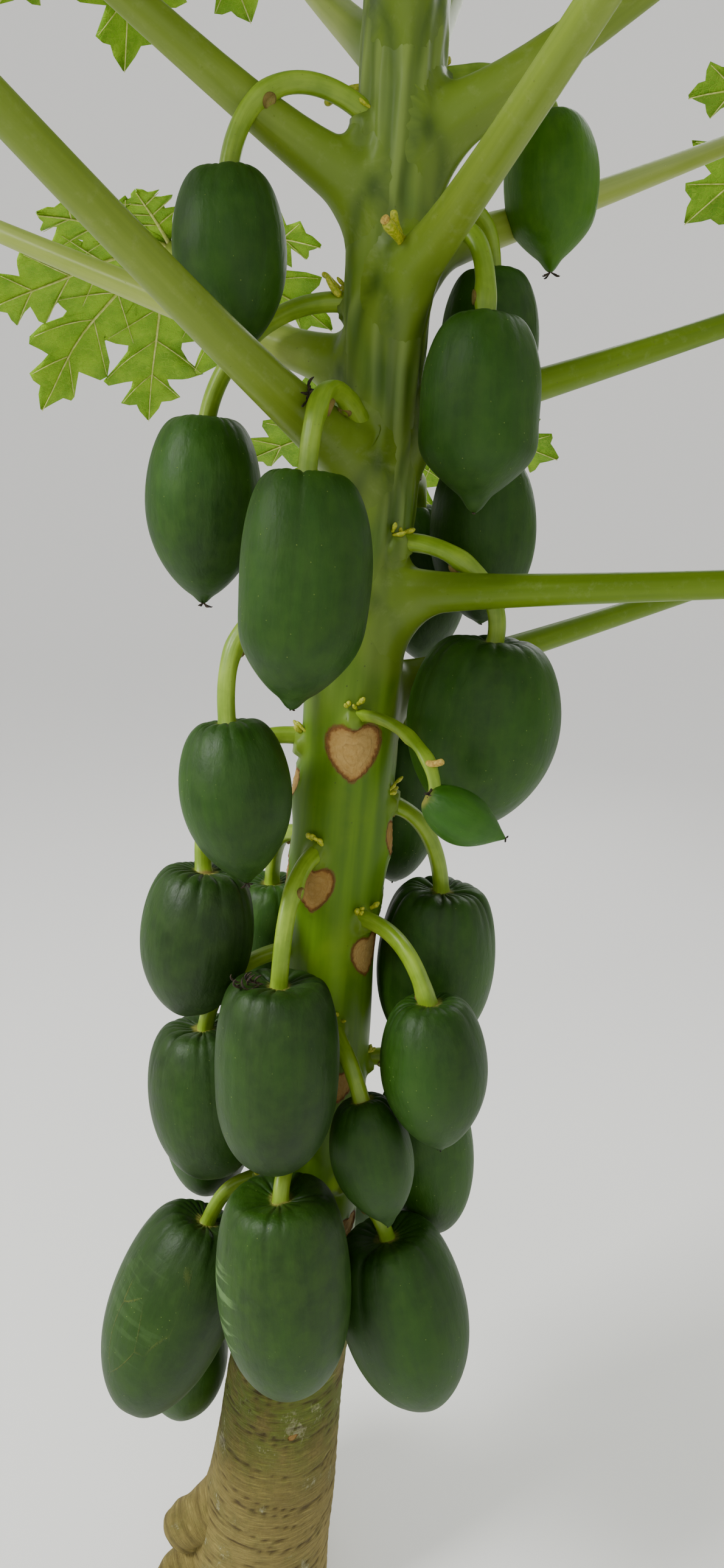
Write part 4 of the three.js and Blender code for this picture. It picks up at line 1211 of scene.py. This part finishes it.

# %% [markdown]
# ### The rind's finish
# The rind is deep green under a thin wax that makes it matt. Fine lines run from stalk to tip, small
# pale dots are strewn over it, painted shade darkens the pleats' valleys, and a pale ring of cork lies
# round the stalk. Two of the oldest fruit carry pale rub marks or dry scab lines. The topmost one on
# the right is a yellower green, partly its own younger colour and partly painted sunlight, and several
# fruit take darker copies of the deep rind as painted shade.

# %% Rind
def rind_finish(name, dark, light, wax, rubbed=0, scab=0):
    """A fruit's material between a dark and a light green. rubbed and scab add the marks of old fruit."""
    paint = Paint(name)
    grain = paint.grain()
    share = paint.mark("share")
    line = paint.noise(paint.stretch(grain, 1, 1, 0.06), 130, detail=2, rough=0.5)
    cloud = paint.noise(paint.stretch(grain, 1, 1, 0.6), 14, detail=2, rough=0.4)
    fine = paint.noise(grain, 620, detail=2)
    color = paint.mix(paint.ease(line * 0.3 + cloud * 0.7, 0.28, 0.72), dark, light)
    color = paint.mix(paint.ease(share, 0.45, 1.05) * 0.35, color, dark)
    bloom = paint.ease(paint.noise(grain, 55, detail=5, rough=0.6), 0.30, 0.80)
    color = paint.mix(bloom * 0.19 + fine * 0.06, color, wax)
    # painted shade in the pleats' valleys
    color = paint.mix(paint.mark("fold") * 0.70, color, tint(16, 36, 4))
    dots = 1 - paint.ease(paint.cells(grain, 125), 0.05, 0.09)
    dots = dots * paint.ease(cloud, 0.46, 0.60)
    color = paint.mix(dots * 0.55, color, tint(132, 156, 70))
    collar = paint.ease(paint.mark("crown") + (line - 0.5) * 0.5, 0.40, 0.85)
    color = paint.mix(collar * 0.8, color, tint(142, 136, 62))
    wrinkle = paint.noise(paint.stretch(grain, 1, 1, 0.4), 85, detail=3, rough=0.55)
    height = line * 0.25 + wrinkle * (1.1 - share * 0.5) + fine * 0.07 + dots * 0.25
    if rubbed:
        turned = {"Vector": grain, "Rotation": (-0.75, 0, 0), "Scale": (0.4, 0.4, 2.6)}
        slant = paint.noise(paint.node("Mapping", turned), 42, detail=3, bend=0.4)
        rub = paint.mark("rub")
        smear = paint.ease(slant + rub * 0.10, 0.60, 0.68) * paint.ease(rub, 0.15, 0.6)
        color = paint.mix(smear * 0.42 * rubbed, color, tint(116, 150, 92))
    if scab:
        crack = paint.cells(paint.stretch(grain, 1, 1, 0.35), 26, feature="DISTANCE_TO_EDGE")
        scar = 1 - paint.ease(crack + (fine - 0.5) * 0.05, 0.002, 0.016)
        scar = scar * paint.ease(cloud, 0.54, 0.66) * scab
        color = paint.mix(scar * 0.4, color, tint(108, 112, 40))
        height = height + scar * 0.6
    rough = 0.46 + bloom * 0.10 + collar * 0.3 + cloud * 0.06
    return paint.finish(color, rough, paint.bump(height, 0.0012), Specular_IOR_Level=0.28)


WAX = tint(84, 120, 40)
# the two rinds darker than the deep one are painted shade
rinds = {
    DEEP: rind_finish("rind_deep", tint(19, 50, 0), tint(36, 76, 0), WAX),
    DIMMED: rind_finish("rind_dimmed", tint(18, 48, 0), tint(33, 70, 0), tint(74, 108, 36)),
    SHADED: rind_finish("rind_shaded", tint(16, 40, 0), tint(28, 62, 0), tint(74, 106, 38)),
    FRESH: rind_finish("rind_fresh", tint(28, 72, 0), tint(46, 96, 0), tint(92, 134, 50)),
    # a yellower copy: partly the fruit's own younger colour and partly painted sunlight
    SUNNY: rind_finish("rind_sunny", tint(44, 88, 0), tint(70, 118, 0), tint(108, 144, 46)),
    RUBBED: rind_finish("rind_rubbed", tint(18, 45, 0), tint(32, 67, 0), WAX, rubbed=1),
    SCABBED: rind_finish(
        "rind_scabbed", tint(16, 42, 0), tint(30, 63, 0), tint(74, 106, 40), rubbed=0.15, scab=1
    ),
}
for number, fruit in enumerate(FRUIT, 1):
    body = Skin()
    fruit_rings, marks = fruit_skin(fruit, number)
    body.add_tube(fruit_rings, **marks)
    tone = FRUIT_NOTES.get(number, PLAIN_FRUIT)[-1]
    body.build(f"papaya_{number:02d}", [rinds[tone]], "rind", [f"fruit_{number:02d}"])

# %% [markdown]
# ## The fruit stalks
# A fruit stalk leaves the stem level, arches over and drops into the crown. It is as thick as a thumb,
# swells where it leaves the stem, and carries knobs: round corky discs where side flowers dropped off.

# %% Fruit stalks
def fruit_path(fruit, number, shares):
    """The stalk's curve, as in the solids: out from the stem, over an arch, and down into the fruit."""
    (reach, _, _), _, _, _, _, (height, turn, arch), _ = fruit
    crown, down, _, _ = fruit_frame(fruit)
    start = beside_stem(between(height, RADIUS) * INSET, turn, height)
    end = crown + down * 0.008
    if number in BENDS:
        first, second = [beside_stem(*place) for place in BENDS[number]]
        return bezier((start, first, second, end), shares)
    shoulder = start + outward(turn) * 0.5 * reach + UP * arch
    drop = max(height + arch - crown[2], 0.014)
    return bezier((start, shoulder, crown - down * drop, end), shares)


# fruit: share along its stalk, angle round it and size of each knob that shows
KNOBS = {
    2: [(0.60, 50, 0.0062)], 4: [(0.82, 120, 0.006)], 8: [(0.30, 100, 0.006), (0.62, 40, 0.007)],
    10: [(0.46, 75, 0.0085)], 12: [(0.30, 70, 0.006), (0.62, 120, 0.006)],
    14: [(0.10, 100, 0.0075), (0.62, 80, 0.006), (0.80, 30, 0.0065)],
    16: [(0.18, 90, 0.008)], 18: [(0.45, 10, 0.006)], 19: [(0.90, 100, 0.005)],
}
FRUIT_STALK_COLUMNS = 20
DISC_COLUMNS = 18


def knobs_of(number):
    """The knobs of one fruit's stalk: its own, or else one whose place changes from fruit to fruit."""
    return KNOBS.get(number, [(0.3 + 0.05 * (number % 7), 40 + 37 * (number % 5), 0.0055)])


def fruit_stalk(fruit, number):
    """The rings of one stalk, with the swelling round each knob, the collar at the fruit, and the
    thickened foot at the stem."""
    _, _, girth, _, _, (_, turn, _), _ = fruit
    shares = np.linspace(0, 1, 44)
    points, ways, length = fruit_path(fruit, number, shares)
    t = shares[:, None]
    angle = np.arange(FRUIT_STALK_COLUMNS) * 2 * pi / FRUIT_STALK_COLUMNS
    scale = min(1, girth / FULL_GIRTH)
    half = (FRUIT_STALK_RADIUS + 0.004 * np.exp(-12 * t)) * scale + 0 * angle
    half = half + 0.0032 * scale * hump((t - 1) * length / 0.007)
    half = half + 0.0008 * np.cos(3 * angle + number) * ease(0.02, 0.2, t)
    for knob, bearing, size in knobs_of(number):
        near = hump((t - knob) * length / 0.0105)
        half = half + near * (0.0012 + 0.0022 * hump(wrap(np.degrees(angle) - bearing) / 55)) * size / 0.0085
    rings, straight = carry(points, ways, outward(turn + 90), half, half, FRUIT_STALK_COLUMNS)
    near_end = hump((t - 1) * length / 0.012) + 0 * angle
    return rings, {"grain": straight + [0.2 * number, 0, 0], "end": near_end}


def disc(at, normal, size):
    """A knob's scar: a low round plate with a raised rim and a sunken middle. Its rings have radii and
    heights that go up the rim, over it and down to the middle."""
    radii = size * np.array([1.05, 1.12, 1.04, 0.86, 0.72, 0.45, 0.12])
    rises = size * np.array([-0.50, -0.05, 0.20, 0.27, 0.21, 0.19, 0.20])
    across = unit(np.cross(normal, [0.2, 0.3, 1.0]))
    upward = np.cross(normal, across)
    angle = np.arange(DISC_COLUMNS) * 2 * pi / DISC_COLUMNS
    round_way = across * np.cos(angle)[:, None] + upward * np.sin(angle)[:, None]
    rings = at + radii[:, None, None] * round_way + rises[:, None, None] * normal
    middle = np.broadcast_to(1 - ease(0.6, 0.95, radii / size)[:, None], rings.shape[:2])
    return rings, middle


fruit_stalks, discs = Skin(), Skin()
for number, fruit in enumerate(FRUIT, 1):
    stalk_rings, marks = fruit_stalk(fruit, number)
    fruit_stalks.add_tube(stalk_rings, **marks)
    side = outward(fruit[5][1] + 90)
    for knob, bearing, size in knobs_of(number):
        points, ways, _ = fruit_path(fruit, number, np.array([knob]))
        across = unit(side - ways[0] * (ways[0] @ side))
        under = np.cross(across, ways[0])
        normal = across * cos(radians(bearing)) + under * sin(radians(bearing))
        scale = min(1, fruit[2] / FULL_GIRTH)
        at = points[0] + normal * (FRUIT_STALK_RADIUS * scale + 0.0012)
        disc_rings, disc_middle = disc(at, normal, size * scale)
        discs.add_tube(disc_rings, middle=disc_middle)


def fruit_stalk_finish():
    """Yellow-green with fine lines, and a brown corky ring where it meets the fruit."""
    paint = Paint("fruit_stalk")
    grain = paint.grain()
    line = paint.noise(paint.stretch(grain, 1, 1, 0.08), 300, detail=3)
    cloud = paint.noise(grain, 40, detail=3)
    color = paint.mix(paint.ease(line * 0.6 + cloud, 0.55, 1.1), tint(110, 142, 14), tint(142, 170, 46))
    ring = paint.ease(paint.mark("end") + (cloud - 0.5) * 0.5, 0.45, 0.80)
    color = paint.mix(ring * 0.85, color, tint(138, 108, 58))
    speck = 1 - paint.ease(paint.cells(grain, 160), 0.05, 0.10)
    color = paint.mix(speck * 0.5, color, tint(92, 84, 30))
    return paint.finish(color, 0.42 + ring * 0.3, paint.bump(line + cloud, 0.0004))


def disc_finish():
    """Cork: pale brown in the middle, darker on the rim."""
    paint = Paint("knob_cork")
    place = paint.place()
    spot = paint.noise(place, 700, detail=3)
    color = paint.mix(paint.mark("middle"), tint(116, 98, 38), tint(152, 138, 74))
    color = paint.mix(paint.ease(spot, 0.5, 0.7) * 0.6, color, tint(104, 76, 38))
    return paint.finish(color, 0.8, paint.bump(spot, 0.0005))


fruit_nodes = [f"fruit_{number:02d}" for number in range(1, len(FRUIT) + 1)]
fruit_stalks.build("fruit_stalks", [fruit_stalk_finish()], "leaf", fruit_nodes)
discs.build("stalk_knobs", [disc_finish()], "bark")

# %% [markdown]
# ## Buds, stubs and dried flowers
# Small things tell a living plant: a cluster of yellow-green buds in the axil over each fruit stalk,
# stubs of flower stalks that broke off, the black curls of withered flowers, and the withered star
# of the stigma that stays on the tip of a fruit. Each is a short tube with round ends.

# %% Small things
YELLOW, WITHERED, CUT = 0, 1, 2


def twig(corners, radii, columns=10, count=14):
    """A tube along a cubic curve through four corners. Its radius runs through the radii at even shares,
    and the factor sqrt(1 - (2t - 1)^8) rounds off both ends."""
    t = (1 - np.cos(np.linspace(0, pi, count))) / 2
    points, ways, _ = bezier([np.asarray(corner, float) for corner in corners], t)
    round_off = np.sqrt(np.clip(1 - (2 * t - 1) ** 8, 0.01, 1))
    size = (np.interp(t, np.linspace(0, 1, len(radii)), radii) * round_off)[:, None]
    return carry(points, ways, np.array([0.31, 0.52, 0.79]), size, size, columns)[0]


def curl(start, way, side, length, size):
    """A withered strip: it starts along way and curls over to the side."""
    bends = [(0, 0), (0.5, 0), (0.9, 0.5), (0.55, 0.75)]
    corners = [start + (way * ahead + side * over) * length for ahead, over in bends]
    return twig(corners, [size, size * 0.7, size * 1.1, size * 0.5])


STARRED = (1, 6, 12)  # the fruit whose withered star shows
small = Skin()
for number, fruit in enumerate(FRUIT, 1):
    root_height, root_turn, _ = fruit[5]
    rng = np.random.default_rng(500 + number)
    out, beside = outward(root_turn), outward(root_turn + 90)
    for _ in range(4):
        spread, rise = rng.uniform(-13, 13), 0.014 + rng.uniform(-0.003, 0.005)
        level, facing = root_height + rise, root_turn + spread
        skin_reach = between(level, RADIUS) + ribs(level, np.array(facing))
        root = beside_stem(skin_reach, facing, level)
        way = unit(out * rng.uniform(0.5, 1) + UP * rng.uniform(0.1, 0.9) + beside * rng.uniform(-0.6, 0.6))
        length, thick = rng.uniform(0.006, 0.012), rng.uniform(0.0014, 0.0026)
        bud = root + way * length + UP * 0.002
        corners = (root - way * 0.003, root + way * length * 0.4, root + way * length * 0.8, bud)
        small.add_tube(twig(corners, [thick, thick * 0.9, thick * 1.35, thick * 0.8]), finish=YELLOW)
    crown, down, front, across = fruit_frame(fruit)
    nub = FRUIT_NOTES.get(number, PLAIN_FRUIT)[3]
    tip = crown + down * (fruit[1] + nub - 0.001)
    for _ in range(6 if number in STARRED else 3):
        a = rng.uniform(0, 2 * pi)
        side = front * cos(a) + across * sin(a)
        length = rng.uniform(0.005, 0.009) if number in STARRED else 0.003
        small.add_tube(curl(tip, unit(down + side * 0.8), side, length, 0.0009), finish=WITHERED)

# stubs: the finish, the radii, then the corners as reach, turn and height
STUBS = [
    (YELLOW, (0.0066, 0.0046, 0.0044, 0.0062),
     (0.044, 13, 1.604), (0.056, 9, 1.608), (0.070, 1, 1.607), (0.085, -6, 1.617)),
    (YELLOW, (0.0046, 0.0034, 0.0036),
     (0.062, 4, 1.608), (0.066, 2, 1.612), (0.072, -1, 1.618), (0.075, -2, 1.627)),
    (CUT, (0.0042, 0.0042),
     (0.0845, -5.8, 1.6168), (0.0852, -6, 1.6172), (0.0860, -6.4, 1.6177), (0.0868, -6.8, 1.6182)),
    (YELLOW, (0.0040, 0.0032, 0.0028),
     (0.044, -86, 1.570), (0.050, -88, 1.574), (0.055, -89, 1.580), (0.058, -89, 1.588)),
    (YELLOW, (0.0030, 0.0024, 0.0030),
     (0.046, -98, 1.576), (0.054, -99, 1.583), (0.058, -98, 1.589), (0.064, -97, 1.590)),
    (YELLOW, (0.0036, 0.0030, 0.0044),
     (0.034, -106, 1.740), (0.050, -106, 1.742), (0.062, -104, 1.737), (0.070, -102, 1.728)),
    (CUT, (0.0036, 0.0030, 0.0034),
     (0.168, 25, 1.168), (0.174, 26, 1.168), (0.180, 27, 1.170), (0.184, 28, 1.173)),
]
for finish, radii, *corners in STUBS:
    small.add_tube(twig([beside_stem(*corner) for corner in corners], radii, columns=14), finish=finish)

# withered flowers: where they hang, their count, length and the way that they lie
WITHERED_AT = [
    ((0.112, -32, 1.480), 7, 0.017, (-0.8, -0.3, -0.3)),
    ((0.186, 24, 1.146), 4, 0.010, (-0.3, -0.6, -0.5)),
]
for place, count, length, lie in WITHERED_AT:
    rng = np.random.default_rng(700 + count)
    for _ in range(count):
        way, side = unit(np.array(lie) + rng.normal(0, 0.45, 3)), unit(rng.normal(0, 1, 3))
        start = beside_stem(*place) + rng.normal(0, 0.002, 3)
        strip = curl(start, way, side, length * rng.uniform(0.6, 1.1), rng.uniform(0.0010, 0.0018))
        small.add_tube(strip, finish=WITHERED)

# one fruit has a wreath of withered strips on its crown
WREATHED, STRIPS = 18, 12
crown, down, front, across = fruit_frame(FRUIT[WREATHED - 1])
rng = np.random.default_rng(718)
for _ in range(STRIPS):
    a, start_at = rng.uniform(0.4, 1.15), rng.uniform(0.014, 0.032)
    bearing = front * cos(a) + across * sin(a)
    start, lift = crown + bearing * start_at - down * 0.0050, unit(rng.normal(0, 1, 3) - down)
    strip = curl(start, unit(bearing + down * 0.10), lift, rng.uniform(0.012, 0.024), 0.0012)
    small.add_tube(strip, finish=WITHERED)


def small_finish(name, low, high, roughness):
    """A speckled mix of two colours for the small things."""
    paint = Paint(name)
    place = paint.place()
    color = paint.mix(paint.ease(paint.noise(place, 420, detail=3), 0.35, 0.65), low, high)
    return paint.finish(color, roughness, paint.bump(paint.noise(place, 900, detail=2), 0.0004))


yellow = small_finish("bud_yellow", tint(150, 164, 20), tint(200, 196, 60), 0.5)
withered = small_finish("withered", tint(22, 16, 10), tint(58, 42, 24), 0.8)
cut = small_finish("cut_end", tint(168, 130, 44), tint(206, 176, 84), 0.7)
small.build("buds_and_stubs", [yellow, withered, cut], "leaf")

# %% [markdown]
# ## Floor and light
# The floor is a plain pale disc that sweeps up into a round wall, so no edge shows. The main light
# comes from high on the left, as in the photograph, but from a panel, which softens its shadows. A wide
# weak panel behind the camera opens the shade, a third one behind the tree lights its edges, and the
# room gives an even light of its own.

# %% Floor
# distance from the middle and height of the floor's rings, from the disc up the sweep to the wall
FLOOR_FLAT, FLOOR_SWEEP, FLOOR_WALL = 7.0, 3.0, 16.0
FLOOR_COLUMNS = 96
bow = np.linspace(0, pi / 2, 24)
floor_profile = np.concatenate([
    [[0.4, 0.0], [3.0, 0.0]],
    np.stack([FLOOR_FLAT + FLOOR_SWEEP * np.sin(bow), FLOOR_SWEEP * (1 - np.cos(bow))], -1),
    [[FLOOR_FLAT + FLOOR_SWEEP, FLOOR_WALL]],
])
floor_angle = np.arange(FLOOR_COLUMNS) * 2 * pi / FLOOR_COLUMNS
ring_x = floor_profile[:, :1] * np.cos(floor_angle)
ring_y = floor_profile[:, :1] * np.sin(floor_angle)
floor_points = np.stack([ring_x, ring_y, floor_profile[:, 1:] + 0 * ring_x], -1).reshape(-1, 3)
i, j = np.meshgrid(np.arange(len(floor_profile) - 1), np.arange(FLOOR_COLUMNS), indexing="ij")
k = (j + 1) % FLOOR_COLUMNS
here, beyond = i * FLOOR_COLUMNS, (i + 1) * FLOOR_COLUMNS
floor_quads = np.stack([here + j, beyond + j, beyond + k, here + k], -1).reshape(-1, 4)
floor_mesh = bpy.data.meshes.new("floor")
floor_mesh.from_pydata(floor_points, [], [tuple(range(FLOOR_COLUMNS)), *floor_quads.tolist()])
floor_mesh.shade_smooth()
floor = bpy.data.objects.new("floor", floor_mesh)
floor_paint = Paint("floor")
floor_glow = {"Emission Color": tint(240, 240, 240), "Emission Strength": 0.22}
floor_finish = floor_paint.finish(tint(232, 231, 228), 0.95, Specular_IOR_Level=0.1, **floor_glow)
floor_mesh.materials.append(floor_finish)
bpy.context.scene.collection.objects.link(floor)
floor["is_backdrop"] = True
print("floor radius:", FLOOR_FLAT + FLOOR_SWEEP)

# %% Lights
# name, place, where it points, width, watts
LAMPS = [
    ("key", (-2.0, -1.0, 3.0), (0.10, 0.0, 1.1), 0.8, 112),
    ("fill", (0.6, -3.4, 2.6), (0.15, 0.0, 0.9), 3.0, 15),
    ("rim", (1.6, 2.2, 2.6), (0.15, 0.0, 1.2), 1.8, 36),
]
for name, place, target, width, watts in LAMPS:
    lamp = bpy.data.lights.new(name, "AREA")
    lamp.size = width
    lamp.energy = watts
    holder = bpy.data.objects.new(name, lamp)
    aim = np.array(target) - np.array(place)
    holder.location = place
    holder.rotation_euler = (np.arctan2(np.hypot(*aim[:2]), -aim[2]), 0, np.arctan2(-aim[0], aim[1]))
    bpy.context.scene.collection.objects.link(holder)
world = bpy.data.worlds.new("studio")
world.use_nodes = True
world.node_tree.nodes["Background"].inputs["Color"].default_value = tint(236, 238, 240)
world.node_tree.nodes["Background"].inputs["Strength"].default_value = 0.72
bpy.context.scene.world = world
print("lamps:", [lamp[0] for lamp in LAMPS])

# %% Finish
boxes = {"cad": cad_box, "visual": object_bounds()}
for name, box in boxes.items():
    print(name, "box:", [[round(float(v), 3) for v in corner] for corner in box])
